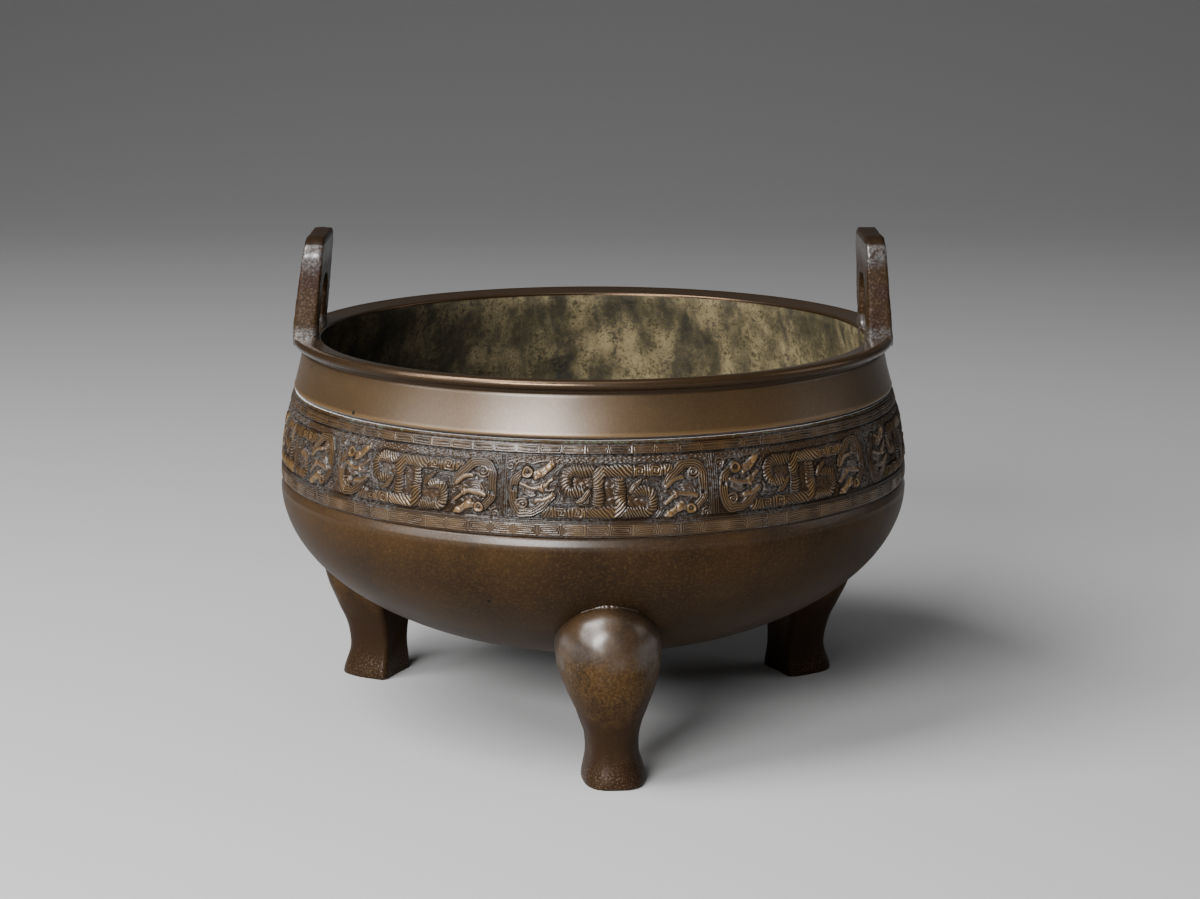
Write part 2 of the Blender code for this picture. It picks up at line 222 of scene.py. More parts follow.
class DingStage(bpy.types.PropertyGroup):
    """The camera's place and lens, the floor's colour and the power of the lights."""
    distance: length("Distance", "From the bowl's axis to the camera", 0.68774)
    height: length("Height", "Height of the camera", 0.20812)
    pitch: bearing("Pitch", "How far the camera looks down", 11.62)
    lens: number("Lens", "Focal length in millimetres on a 36 mm sensor", 81.6)
    shift: number("Shift", "Sideways shift of the frame, as a share of its width", 0.00568)
    floor: tint("Floor", "The pale floor", 0.56, 0.56, 0.56)
    key: number("Key light", "Power of the softbox at the front left, in watts", 9.0)
    side: number("Side light", "Power of the softbox at the left, in watts", 9.5)
    glint: number("Glint light", "Power of the small low softbox at the left, in watts", 1.4)
    top: number("Top light", "Power of the softbox overhead, in watts", 1.2)
    fill: number("Fill light", "Power of the weak softbox at the right, in watts", 0.9)


GROUPS = {
    "bowl": DingBowl,
    "frieze": DingFrieze,
    "handles": DingHandles,
    "legs": DingLegs,
    "colours": DingColours,
    "stage": DingStage,
}


class Value:
    """A number on its way through a material. Used in an expression, it adds the Math nodes."""

    def __init__(self, paint, socket):
        self.paint = paint
        self.socket = socket

    def _maths(self, operation, first, second):
        node = self.paint.add("ShaderNodeMath", {"operation": operation}, {0: first, 1: second})
        return Value(self.paint, node.outputs[0])

    def __add__(self, other):
        return self._maths("ADD", self, other)

    def __radd__(self, other):
        return self._maths("ADD", other, self)

    def __sub__(self, other):
        return self._maths("SUBTRACT", self, other)

    def __rsub__(self, other):
        return self._maths("SUBTRACT", other, self)

    def __mul__(self, other):
        return self._maths("MULTIPLY", self, other)

    def __rmul__(self, other):
        return self._maths("MULTIPLY", other, self)

    def cosine(self):
        """The cosine of an angle in radians."""
        return self._maths("COSINE", self, 0.0)

    def above(self, low, high):
        """A soft step from 0 at low to 1 at high. high may be the smaller one."""
        node = self.paint.add(
            "ShaderNodeMapRange", {"interpolation_type": "SMOOTHSTEP"},
            {"Value": self, "From Min": low, "From Max": high},
        )
        return Value(self.paint, node.outputs["Result"])


class Paint:
    """One material's node tree."""

    def __init__(self, name):
        self.material = bpy.data.materials.new(name)
        self.material.use_nodes = True
        self.tree = self.material.node_tree
        self.tree.nodes.clear()
        where = self.add("ShaderNodeTexCoord", {}, {})
        self.place = where.outputs["Object"]
        apart = self.add("ShaderNodeSeparateXYZ", {}, {0: self.place})
        self.height = Value(self, apart.outputs["Z"])
        self.across = Value(self, apart.outputs["X"])
        self.deep = Value(self, apart.outputs["Y"])

    def add(self, kind, settings, sockets):
        """Add a node: its type, its settings, which are set first, and its sockets' values or links."""
        node = self.tree.nodes.new(kind)
        for setting, value in settings.items():
            setattr(node, setting, value)
        for key, value in sockets.items():
            if isinstance(value, Value):
                value = value.socket
            if isinstance(value, bpy.types.NodeSocket):
                self.tree.links.new(value, self.socket(node.inputs, key))
            else:
                self.socket(node.inputs, key).default_value = value
        return node

    @staticmethod
    def socket(sockets, key):
        """A socket by its number, its name or its identifier."""
        if isinstance(key, int):
            return sockets[key]
        for found in sockets:
            if found.identifier == key:
                return found
        return sockets[key]

    def level(self, low, high):
        """A soft step over height, from 0 at low to 1 at high, both in millimetres."""
        return self.height.above(low * MM, high * MM)

    def attribute(self, name):
        """A number stored on the piece's points."""
        node = self.add("ShaderNodeAttribute", {"attribute_name": name}, {})
        return Value(self, node.outputs["Fac"])

    def noise(self, size, detail=3.0, roughness=0.55, distortion=0.0, stretch=(1, 1, 1), shift=0.0):
        """Noise with features of about this size, in metres."""
        spot = self.add("ShaderNodeMapping", {}, {
            "Vector": self.place, "Scale": stretch, "Location": (shift, shift, shift),
        })
        node = self.add("ShaderNodeTexNoise", {}, {
            "Vector": spot.outputs[0], "Scale": 1.0 / size, "Detail": detail,
            "Roughness": roughness, "Distortion": distortion,
        })
        return Value(self, node.outputs["Fac"])

    def grains(self, size):
        """Distance from the nearest of scattered points that lie about this far apart."""
        node = self.add(
            "ShaderNodeTexVoronoi", {},
            {"Vector": self.place, "Scale": 1.0 / size, "Randomness": 1.0},
        )
        return Value(self, node.outputs["Distance"])

    def mix(self, share, first, second):
        """A colour between two others."""
        node = self.add(
            "ShaderNodeMix", {"data_type": "RGBA"},
            {"Factor_Float": share, "A_Color": first, "B_Color": second},
        )
        return self.socket(node.outputs, "Result_Color")

    def bump(self, height, strength, distance, before=None):
        """Bend the surface's normal by a height."""
        sockets = {"Height": height, "Strength": strength, "Distance": distance}
        if before is not None:
            sockets["Normal"] = before
        return self.add("ShaderNodeBump", {}, sockets).outputs["Normal"]

    def finish(self, colour, roughness, metallic=0.0, normal=None, wax=0.0, wax_roughness=0.3):
        """Join the layers in one Principled shader. wax is the share of the polished coat over them."""
        shader = self.add("ShaderNodeBsdfPrincipled", {}, {
            "Base Color": colour, "Roughness": roughness, "Metallic": metallic, "Specular IOR Level": 0.04,
            "Coat Weight": wax, "Coat Roughness": wax_roughness, "Coat IOR": 1.8,
        })
        if normal is not None:
            self.tree.links.new(normal, shader.inputs["Normal"])
        self.add("ShaderNodeOutputMaterial", {}, {"Surface": shader.outputs["BSDF"]})
        return self.material


def sizes(name):
    """The scene's property group of this name."""
    return getattr(bpy.context.scene, "ding_" + name)


def around(azimuth, radius, height):
    """Points at azimuths, radii and heights, as an array with a last axis of three."""
    azimuth, radius, height = np.broadcast_arrays(azimuth, radius, height)
    return np.stack([radius * np.sin(azimuth), -radius * np.cos(azimuth), height], axis=-1)


def belly_radius(bowl, height, inset=0.0):
    """Radius of the belly, or of a surface that far inside it, at a height."""
    share = (bowl.shoulder_height - height) / (bowl.belly_depth - inset)
    return (bowl.belly_radius - inset) * np.sqrt(np.maximum(0.0, 1.0 - share * share))


def frieze_radius(bowl, height):
    """Radius of the smooth skin over the frieze's highest relief."""
    share = (height - bowl.shoulder_height - bowl.ledge_rise) / bowl.frieze_height
    return bowl.belly_radius + bowl.frieze_proud - bowl.frieze_taper * share * share


def frieze_span(bowl):
    """Heights of the frieze's foot and top."""
    foot = bowl.shoulder_height + bowl.ledge_rise
    return foot, foot + bowl.frieze_height


def neck_ends(bowl):
    """Radius and height of the neck's foot, then of its top."""
    frieze_top = frieze_span(bowl)[1]
    height = frieze_top + bowl.groove
    radius = frieze_radius(bowl, frieze_top) - bowl.neck_step + NECK_EASE
    return radius, height, radius - bowl.neck_taper, height + bowl.neck_height


def off_true(bowl, points):
    """How far the finished wall lies outside its true circle at each point."""
    azimuth = np.arctan2(points[..., 0], -points[..., 1])
    height = points[..., 2]
    waves = sum(
        share * np.sin(times * azimuth + climb * height + phase) for share, times, climb, phase in WAVES
    )
    return bowl.unevenness * (waves - WAVE_LEVEL) / WAVE_SUM


def set_off_true(bowl, points):
    """Move points out or in as the finished wall does."""
    radius = np.hypot(points[..., 0], points[..., 1])
    scale = 1.0 + off_true(bowl, points) / np.maximum(radius, 10 * MM)
    moved = points.copy()
    moved[..., 0] *= scale
    moved[..., 1] *= scale
    return moved


def roughen(points, size, height, seed):
    """A smooth random height at each point, with bumps of about this size."""
    rng = np.random.default_rng(seed)
    waves = 22
    turns = rng.normal(size=(waves, 3))
    turns /= np.linalg.norm(turns, axis=1)[:, None]
    turns *= TURN / size * rng.uniform(0.6, 1.5, size=(waves, 1))
    phases = rng.uniform(0, TURN, size=waves)
    total = np.zeros(points.shape[:-1])
    for turn, phase in zip(turns, phases):
        total += np.sin(points @ turn + phase)
    return total * height / math.sqrt(waves / 2)


def ease(share):
    """A share from 0 to 1 that starts and ends level."""
    return 0.5 - 0.5 * math.cos(math.pi * share)


def filleted(points, radius, steps=6):
    """A path of (u, v) points whose corners are rounded with arcs of one radius."""
    points = [Vector(point) for point in points]
    path = [points[0]]
    for before, corner, after in zip(points, points[1:], points[2:]):
        back = (before - corner).normalized()
        forth = (after - corner).normalized()
        half_turn = (math.pi - back.angle(forth)) / 2
        reach = min(radius * math.tan(half_turn), (before - corner).length / 2, (after - corner).length / 2)
        inner = reach / max(math.tan(half_turn), 1e-6)
        middle = corner + (back + forth).normalized() * inner / math.cos(half_turn)
        start = corner + back * reach - middle
        side = math.copysign(1.0, back.x * forth.y - back.y * forth.x)
        for step in range(steps + 1):
            angle = side * half_turn * -2 * step / steps
            path.append(middle + Vector((
                start.x * math.cos(angle) - start.y * math.sin(angle),
                start.x * math.sin(angle) + start.y * math.cos(angle),
            )))
    path.append(points[-1])
    return [tuple(point) for point in path]


def finely(path, spacing):
    """The same path with points no further apart than the spacing."""
    fine = [path[0]]
    for start, end in zip(path, path[1:]):
        steps = max(1, math.ceil(math.dist(start, end) / spacing))
        for step in range(1, steps + 1):
            share = step / steps
            fine.append(tuple(a + (b - a) * share for a, b in zip(start, end)))
    return fine


def skin(name, shells, poles=False):
    """A mesh of closed shells, each over rings of as many points. Ends are flat, or poles on the axis."""
    points, faces = [], []
    for rings in shells:
        rings = np.asarray(rings, float)
        count, sides = rings.shape[:2]
        index = len(points) + np.arange(count * sides).reshape(count, sides)
        after = np.roll(index, -1, axis=1)
        points += rings.reshape(-1, 3).tolist()
        faces += np.stack([index[:-1], after[:-1], after[1:], index[1:]], axis=-1).reshape(-1, 4).tolist()
        if poles:
            first, last = len(points), len(points) + 1
            points += [rings[0].mean(axis=0).tolist(), rings[-1].mean(axis=0).tolist()]
            faces += [(first, int(b), int(a)) for a, b in zip(index[0], after[0])]
            faces += [(last, int(a), int(b)) for a, b in zip(index[-1], after[-1])]
        else:
            faces += [index[0][::-1].tolist(), index[-1].tolist()]
    mesh = bpy.data.meshes.new(name)
    mesh.from_pydata(points, [], faces)
    bm = bmesh.new()
    bm.from_mesh(mesh)
    bmesh.ops.recalc_face_normals(bm, faces=bm.faces)
    bm.to_mesh(mesh)
    bm.free()
    mesh.shade_smooth()
    if not poles:
        mesh.set_sharp_from_angle(angle=math.radians(60))
    return mesh


def tube(path, radius, sides=10):
    """Rings of a round thread along a path in space. It thins out at both ends."""
    path = [Vector(point) for point in path]
    angles = [TURN * side / sides for side in range(sides)]
    rings = []
    for here, place in enumerate(path):
        ahead = (path[min(here + 1, len(path) - 1)] - path[max(here - 1, 0)]).normalized()
        outward = Vector((place.x, place.y, 0.0))
        outward = (outward - ahead * outward.dot(ahead)).normalized()
        beside = ahead.cross(outward)
        size = radius * (0.25 + 0.75 * min(1.0, 4.0 * min(here, len(path) - 1 - here) / len(path)))
        rings.append([
            tuple(place + outward * size * math.cos(angle) + beside * size * math.sin(angle))
            for angle in angles
        ])
    return rings


def mesh_points(mesh):
    """A mesh's points as an array."""
    points = np.empty(len(mesh.vertices) * 3, np.float32)
    mesh.vertices.foreach_get("co", points)
    return points.reshape(-1, 3).astype(float)


def mesh_normals(mesh):
    """A mesh's point normals as an array."""
    normals = np.empty(len(mesh.vertices) * 3, np.float32)
    mesh.vertices.foreach_get("normal", normals)
    return normals.reshape(-1, 3)


def move_points(mesh, points):
    """Put a mesh's points where this array has them."""
    mesh.vertices.foreach_set("co", points.astype(np.float32).ravel())
    mesh.update()


def store(mesh, name, values):
    """Store a number on each point of a mesh, for its material."""
    layer = mesh.attributes.new(name, "FLOAT", "POINT")
    layer.data.foreach_set("value", np.asarray(values, np.float32).ravel())


def pebble(mesh, size, height, seed):
    """Push a mesh's points in and out along their normals, but not below the ground."""
    points = mesh_points(mesh)
    points += mesh_normals(mesh) * roughen(points, size, height, seed)[:, None]
    points[:, 2] = np.maximum(points[:, 2], 0.0)
    move_points(mesh, points)


def show(mesh, name, material=None):
    """Link a mesh as a piece of the vessel."""
    if material is not None:
        mesh.materials.append(material)
    piece = bpy.data.objects.new(name, mesh)
    bpy.context.scene.collection.objects.link(piece)
    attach(piece, CAD_BODY)
    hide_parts(CAD_NODE)


def ring_tree():
    """Geometry nodes: copies of a mesh turned round +Z at a steady pitch and joined where they meet."""
    tree = bpy.data.node_groups.new("ring of copies", "GeometryNodeTree")
    tree.interface.new_socket("Geometry", in_out="INPUT", socket_type="NodeSocketGeometry")
    for name, kind in (
        ("Copies", "NodeSocketInt"), ("Pitch", "NodeSocketFloat"), ("Start", "NodeSocketFloat"),
        ("Weld", "NodeSocketFloat"), ("Material", "NodeSocketMaterial"),
    ):
        tree.interface.new_socket(name, in_out="INPUT", socket_type=kind)
    tree.interface.new_socket("Geometry", in_out="OUTPUT", socket_type="NodeSocketGeometry")

    def add(kind, settings=(), **links):
        node = tree.nodes.new(kind)
        for setting, value in settings:
            setattr(node, setting, value)
        for socket, value in links.items():
            tree.links.new(value, node.inputs[socket.replace("_", " ")])
        return node

    entry = tree.nodes.new("NodeGroupInput").outputs
    index = add("GeometryNodeInputIndex")
    turned = add("ShaderNodeMath", [("operation", "MULTIPLY_ADD")])
    for socket, value in enumerate((index.outputs[0], entry["Pitch"], entry["Start"])):
        tree.links.new(value, turned.inputs[socket])
    spin = add("ShaderNodeCombineXYZ", Z=turned.outputs[0])
    points = add("GeometryNodePoints", Count=entry["Copies"])
    copies = add(
        "GeometryNodeInstanceOnPoints", Points=points.outputs[0], Instance=entry["Geometry"],
        Rotation=spin.outputs[0],
    )
    solid = add("GeometryNodeRealizeInstances", Geometry=copies.outputs[0])
    joined = add("GeometryNodeMergeByDistance", Geometry=solid.outputs[0], Distance=entry["Weld"])
    dressed = add("GeometryNodeSetMaterial", Geometry=joined.outputs[0], Material=entry["Material"])
    leave = tree.nodes.new("NodeGroupOutput")
    tree.links.new(dressed.outputs[0], leave.inputs[0])
    return tree


def ring_of(mesh, name, material, copies, pitch, start):
    """A plain mesh of copies turned round the axis, made by the ring tree."""
    tree = bpy.data.node_groups.get("ring of copies") or ring_tree()
    host = bpy.data.objects.new(name + "_source", mesh)
    bpy.context.scene.collection.objects.link(host)
    modifier = host.modifiers.new("ring", "NODES")
    modifier.node_group = tree
    values = {"Copies": copies, "Pitch": pitch, "Start": start, "Weld": 0.01 * MM, "Material": material}
    for item in tree.interface.items_tree:
        if item.in_out == "INPUT" and item.name in values:
            modifier[item.identifier] = values[item.name]
    host.update_tag()
    graph = bpy.context.evaluated_depsgraph_get()
    made = bpy.data.meshes.new_from_object(host.evaluated_get(graph), depsgraph=graph)
    made.name = name
    host.modifiers.remove(modifier)
    bpy.data.objects.remove(host)
    return made


def bowl_outline(bowl):
    """Radius, height and zone along the wall, from the pole below, over the lip, to the pole inside.

    The zone is 0 outside, 1 on the lip and 2 inside.
    """
    foot, top = frieze_span(bowl)
    half_up = (foot + top) / 2
    neck_foot_radius, neck_foot, neck_top_radius, neck_top = neck_ends(bowl)
    lip_top = neck_top + bowl.lip_height
    lip_radius = neck_top_radius + bowl.lip_overhang
    mouth = neck_top_radius - bowl.neck_wall
    seat = bowl.frieze_seat
    points = []

    def belly(inset, angles, zone):
        for angle in angles:
            points.append((
                (bowl.belly_radius - inset) * math.sin(angle),
                bowl.shoulder_height - (bowl.belly_depth - inset) * math.cos(angle),
                zone,
            ))

    quarter = [math.pi / 2 * step / 56 for step in range(1, 57)]
    belly(0.0, quarter, 0)
    ledge_top = bowl.belly_radius - bowl.ledge_lean
    points += [
        (bowl.belly_radius - 0.08 * MM, bowl.shoulder_height + 0.22 * MM, 0),
        (ledge_top + 0.25 * MM, foot - 0.55 * MM, 0),
        (ledge_top + 0.05 * MM, foot - 0.15 * MM, 0),
        (ledge_top - 0.25 * MM, foot + 0.05 * MM, 0),
        (ledge_top - 0.70 * MM, foot + 0.25 * MM, 0),
        (frieze_radius(bowl, foot) - seat, foot + 0.6 * MM, 0),
        (frieze_radius(bowl, half_up) - seat, half_up, 0),
        (frieze_radius(bowl, top) - seat, top - 0.2 * MM, 0),
        (neck_foot_radius - bowl.groove_depth, top + 0.15 * MM, 0),
        (neck_foot_radius - 0.45 * MM, top + 0.40 * MM, 0),
        (neck_foot_radius - 0.08 * MM, neck_foot + 0.02 * MM, 0),
        (neck_foot_radius, neck_foot + 0.25 * MM, 0),
    ]
    for step in range(1, 16):
        share = step / 16
        hollow = 0.12 * MM * math.sin(math.pi * share)
        points.append((
            neck_foot_radius - bowl.neck_taper * share - hollow,
            neck_foot + bowl.neck_height * share, 0,
        ))
    points += [
        (neck_top_radius - 0.10 * MM, neck_top - 0.25 * MM, 0),
        (neck_top_radius + 0.25 * MM, neck_top - 0.18 * MM, 0),
        (neck_top_radius + 0.38 * MM, neck_top + 0.05 * MM, 1),
        (neck_top_radius + 0.28 * MM, neck_top + 0.28 * MM, 1),
        (neck_top_radius + 0.45 * MM, neck_top + 0.45 * MM, 1),
        (neck_top_radius + 1.4 * MM, neck_top + 0.65 * MM, 1),
    ]
    bead = (bowl.lip_height - 0.75 * MM) / 2
    middle = (lip_radius - bead, lip_top - 0.12 * MM - bead)
    for step in range(13):
        angle = math.radians(-75 + 150 * step / 12)
        points.append((middle[0] + bead * math.cos(angle), middle[1] + bead * math.sin(angle), 1))
    crest = lip_radius - 2.1 * MM
    points += [
        (crest + 0.50 * MM, lip_top, 1),
        (crest + 0.12 * MM, lip_top - 0.03 * MM, 1),
        (crest, lip_top - 0.14 * MM, 1),
        (crest - 0.15 * MM, lip_top - 0.15 * MM, 1),
    ]
    for step in range(1, 8):
        share = step / 8
        points.append((
            crest + (mouth + MOUTH_ROUND - crest) * share,
            lip_top - 0.15 * MM - (bowl.lip_slope - 0.2 * MM) * share, 1,
        ))
    for step in range(7):
        angle = math.radians(90 + 90 * step / 6)
        points.append((
            mouth + MOUTH_ROUND + MOUTH_ROUND * math.cos(angle),
            lip_top - bowl.lip_slope - 0.65 * MM + MOUTH_ROUND * math.sin(angle), 1,
        ))
    inside_top, inside_middle = (frieze_radius(bowl, at) - 0.9 * MM - bowl.wall for at in (top, half_up))
    path = filleted(
        [
            (mouth, lip_top - 1.9 * MM), (mouth, neck_top), (inside_top, top),
            (inside_middle, half_up), (bowl.belly_radius - bowl.wall, bowl.shoulder_height),
        ], 6 * MM,
    )
    points += [(radius, height, 2) for radius, height in finely(path, 0.9 * MM)]
    belly(bowl.wall, reversed(quarter[:-1]), 2)
    return np.array(points)


class Carving:
    """A height field over one panel, in millimetres: u runs to the right and v up from its middle.

    The height is counted from the sunk field. Fine lines are ridges of a phase, with one ridge at each
    whole number: the phase and the lines' share of full depth, cut, are kept for the material too.
    covered is 1 where a figure lies, and clear is the distance from the nearest figure.
    """

    def __init__(self, frieze, width, low, high):
        self.width = width
        self.half_strap = frieze.strap / MM / 2
        self.half_coil = frieze.coil / MM / 2
        self.rib = frieze.rib / MM
        self.thread = frieze.thread / MM
        across = np.linspace(-width / 2, width / 2, frieze.columns + 1)
        up = np.linspace(low, high, frieze.rows + 1)
        self.straight_u, self.straight_v = np.meshgrid(across, up)
        self.height = np.zeros_like(self.straight_u)
        self.covered = np.zeros_like(self.straight_u)
        self.phase = np.zeros_like(self.straight_u)
        self.cut = np.zeros_like(self.straight_u)
        self.clear = np.full_like(self.straight_u, 9.0)
        self.face(1)

    def face(self, turn):
        """Draw upright, or turned half round with -1. Lines waver a little, as modelled by hand."""
        u = self.straight_u
        v = self.straight_v
        fade = np.clip((self.width / 2 - np.abs(u)) / 3, 0, 1)
        shift_u = 0.12 * np.sin(1.1 * v + 0.8 * u + turn) + 0.07 * np.sin(2.3 * u - 1.7 * v)
        shift_v = 0.12 * np.sin(0.9 * u + 1.3 * v) + 0.07 * np.sin(2.1 * u + turn)
        self.u = u * turn + shift_u * fade
        self.v = v * turn + shift_v * fade

    def near(self, path):
        """Each point's distance from a path, its signed side and how far along the path it lies."""
        best = np.full_like(self.u, 1e6)
        side = np.zeros_like(self.u)
        along = np.zeros_like(self.u)
        run = 0.0
        for (u0, v0), (u1, v1) in zip(path, path[1:]):
            step_u, step_v = u1 - u0, v1 - v0
            size = math.hypot(step_u, step_v)
            if size < 1e-6:
                continue
            from_u, from_v = self.u - u0, self.v - v0
            share = np.clip((from_u * step_u + from_v * step_v) / size ** 2, 0, 1)
            distance = np.hypot(from_u - share * step_u, from_v - share * step_v)
            closer = distance < best
            best = np.where(closer, distance, best)
            side = np.where(closer, (step_u * from_v - step_v * from_u) / size, side)
            along = np.where(closer, run + share * size, along)
            run += size
        return best, side, along

    def lay(self, mask, height, reach=None, phase=None, cut=0.0):
        """Lay a figure over what is there, with its fine lines."""
        self.height += (height - self.height) * mask
        self.cut += (cut - self.cut) * mask
        if phase is not None:
            self.phase = np.where(mask > 0.02, phase, self.phase)
        self.covered = np.maximum(self.covered, mask)
        if reach is not None:
            self.clear = np.minimum(self.clear, np.maximum(reach, 0.0))

    def strap(self, path, half, top, lines=None, edge=0.3, crown=0.28):
        """A raised strap along a path, crowned. lines gives the phase of its ribs from side and run."""
        distance, side, along = self.near(path)
        shape = top - crown * (distance / half) ** 2
        mask = step(half - distance, edge)
        if lines is None:
            self.lay(mask, shape, distance - half)
        else:
            self.lay(mask, shape, distance - half, lines(side, along), 1.0)

    def lined(self, path, half, top, count, ends=1.0):
        """A strap with fine lines along it, which narrows towards its ends."""
        distance, side, along = self.near(path)
        whole = along.max()
        narrow = 1 - (1 - ends) * np.clip(2 * np.abs(along / whole - 0.5), 0, 1) ** 3
        inside = half * narrow
        phase = side / inside * count / 2 + (0.5 if count % 2 == 0 else 0.0)
        shape = top - 0.12 * (distance / inside) ** 2
        self.lay(step(inside - distance, 0.25), shape, distance - inside, phase, 0.9)

    def knob(self, u, v, radius, top):
        """A round boss."""
        distance = np.hypot(self.u - u, self.v - v)
        dome = top - 0.35 * (distance / radius) ** 2
        self.lay(step(radius - distance, 0.3), dome, distance - radius)

    def hollow(self, u, v, wide, tall, low):
        """A sunk oval."""
        distance = np.hypot((self.u - u) / wide, (self.v - v) / tall)
        rough = 0.10 * np.sin(3.1 * self.u + 2.2 * np.sin(1.9 * self.v)) * np.sin(2.7 * self.v + self.u)
        self.lay(step(1 - distance, 0.5), low + rough)

    def eye(self, u, v, radius, top):
        """A round eye: a ring with a pupil in it."""
        distance = np.hypot(self.u - u, self.v - v) / radius
        shape = top - 0.30 * distance ** 4
        self.lay(step((1 - distance) * radius, 0.3), shape, (distance - 1) * radius, distance * 1.45, 1.0)

    def scroll(self, u, v, radius, turns, start, hand, half, top):
        """A thread wound into a flat spiral."""
        steps = int(14 * turns)
        path = []
        for index in range(steps + 1):
            share = index / steps
            angle = start + hand * TURN * turns * share
            size = radius * (1 - 0.92 * share)
            path.append((u + size * math.cos(angle), v + size * math.sin(angle)))
        distance, _, _ = self.near(path)
        self.lay(step(half - distance, 0.2), top - 0.1 * (distance / half) ** 2, distance - half)


def step(value, edge):
    """A soft mask: 0 below zero and 1 above it, over this width."""
    share = np.clip(0.5 + value / edge, 0.0, 1.0)
    return share * share * (3 - 2 * share)


def ridges(phase):
    """Ridges from 0 to 1, with a crest at each whole number."""
    return 0.5 + 0.5 * np.cos(TURN * phase)


def square_spiral(u, v, pitch):
    """The phase of a squared spiral about the origin."""
    return np.maximum(np.abs(u), np.abs(v)) / pitch - np.arctan2(v, u) / TURN


def body_ribs(carving):
    """Phase of a dragon's ribs: across its limb, chevrons at its bend, then bars and squared spirals."""
    u, v, rib = carving.u, carving.v, carving.rib
    slope = np.clip((v + 0.2) / 3.0, 0, 1)
    bars = u / (rib * 0.95)
    band = 4.75
    phase = (v + slope * np.abs(u + 1.2)) / (rib * np.sqrt(1 + slope ** 2))
    for start, drawn in (
        (5.3, bars), (6.1, square_spiral(u - 7.3, v - band, 0.62)), (8.5, bars),
        (10.0, square_spiral(u - 11.2, v - band, 0.62)), (12.4, bars),
        (13.5, (u - 0.55 * (v - band)) / rib),
    ):
        phase = np.where(u > start, drawn, phase)
    return phase


def carve_dragon_bodies(carving):
    """Both dragons' limbs and coiled tails, and over them their bends and long bands."""
    half, coil = carving.half_strap, carving.half_coil
    limb = [(-2.6, -4.4), (-2.6, 3.4)]
    bend = filleted([(-2.6, 1.6), (-2.6, 4.75), (14.6, 4.75)], 2.1)
    tail = filleted([(3.6, -4.75), (10.25, -4.75), (10.25, 0.1), (6.0, 0.1)], 2.0)
    carving.hollow(0.0, 0.0, 1.5, 4.2, 0.14)
    for turn in (1, -1):
        carving.face(turn)
        carving.hollow(6.6, -2.3, 2.6, 1.5, 0.20)
    for turn in (1, -1):
        carving.face(turn)
        ribs = body_ribs(carving)
        carving.strap(limb, half, 0.84, lambda side, along: ribs)
        carving.strap(tail, coil, 0.84, lambda side, along: (along + 0.45 * side) / carving.rib)
        carving.lined([(7.6, 2.5), (6.0, 1.5), (4.7, -0.4)], 0.62, 0.84, 3, ends=0.6)
    for turn in (1, -1):
        carving.face(turn)
        ribs = body_ribs(carving)
        carving.strap(bend, half, 0.92, lambda side, along: ribs)


def carve_dragon_head(carving, lift):
    """A dragon's head in the panel's outer part: crest, neck, eye, snout, jaws and curls."""
    crest = filleted(
        [
            (13.3, 1.0), (15.0, 3.7 - lift), (18.0, 5.9 - lift), (21.4, 6.0 - lift),
            (22.6, 3.8 - lift), (22.8, 0.3), (22.6, -2.2), (20.4, -4.4),
        ], 1.7,
    )
    carving.hollow(17.6, 1.1 - 0.3 * lift, 3.4, 2.4, 0.08)
    carving.hollow(16.6, -2.4, 2.2, 1.1, 0.15)
    carving.lined(crest, 1.15, 0.82, 4, ends=0.75)
    carving.scroll(20.3, 3.9 - lift, 1.5, 2.0, 0.5, -1, 0.26, 0.74)
    carving.lay(step(0.5 - np.abs(carving.u - 22.5), 0.2) * step(0.5 - np.abs(carving.v + 0.7), 0.2), 0.1)
    carving.strap([(13.5, 0.9), (15.2, 2.3 - 0.4 * lift), (17.4, 2.9 - 0.6 * lift)], 0.62, 0.82)
    for radius in (0.8, 1.45, 2.1):
        curl = [
            (18.3 + radius * math.cos(angle), -0.6 + 0.85 * radius * math.sin(angle))
            for angle in np.linspace(-0.9, 2.1, 12)
        ]
        carving.strap(curl, 0.26, 0.62, edge=0.2, crown=0.1)
    jaw = filleted([(20.8, -1.5), (19.0, -0.9), (17.2, -0.7), (15.3, -0.9)], 0.9)
    carving.strap(jaw, 0.66, 0.80)
    carving.knob(15.5, -0.9, 1.05, 0.98)
    carving.strap([(15.2, -1.2), (14.3, -2.2), (13.3, -2.9)], 0.50, 0.80)
    carving.strap([(15.0, -0.5), (14.0, -0.1), (13.0, -0.4)], 0.34, 0.62)
    snout = filleted([(19.4, -4.3), (17.7, -3.9), (16.4, -4.0), (14.4, -5.5), (13.5, -6.1)], 0.9)
    carving.strap(snout, 0.86, 0.84)
    carving.strap([(17.4, -2.9), (16.0, -3.6), (14.0, -5.2)], 0.45, 0.96)
    carving.knob(16.6, -4.0, 1.0, 1.0)
    carving.knob(14.2, -5.5, 0.95, 1.04)
    carving.eye(19.4, -4.3, 1.55, 1.08)
    carving.scroll(23.5, -5.6, 1.35, 1.9, 1.6, 1, 0.24, 0.62)
    whisker = filleted([(22.6, -4.6), (22.0, -6.5), (18.0, -6.4), (14.6, -6.9), (12.0, -6.6)], 0.8)
    carving.strap(whisker, 0.26, 0.60, edge=0.2, crown=0.1)


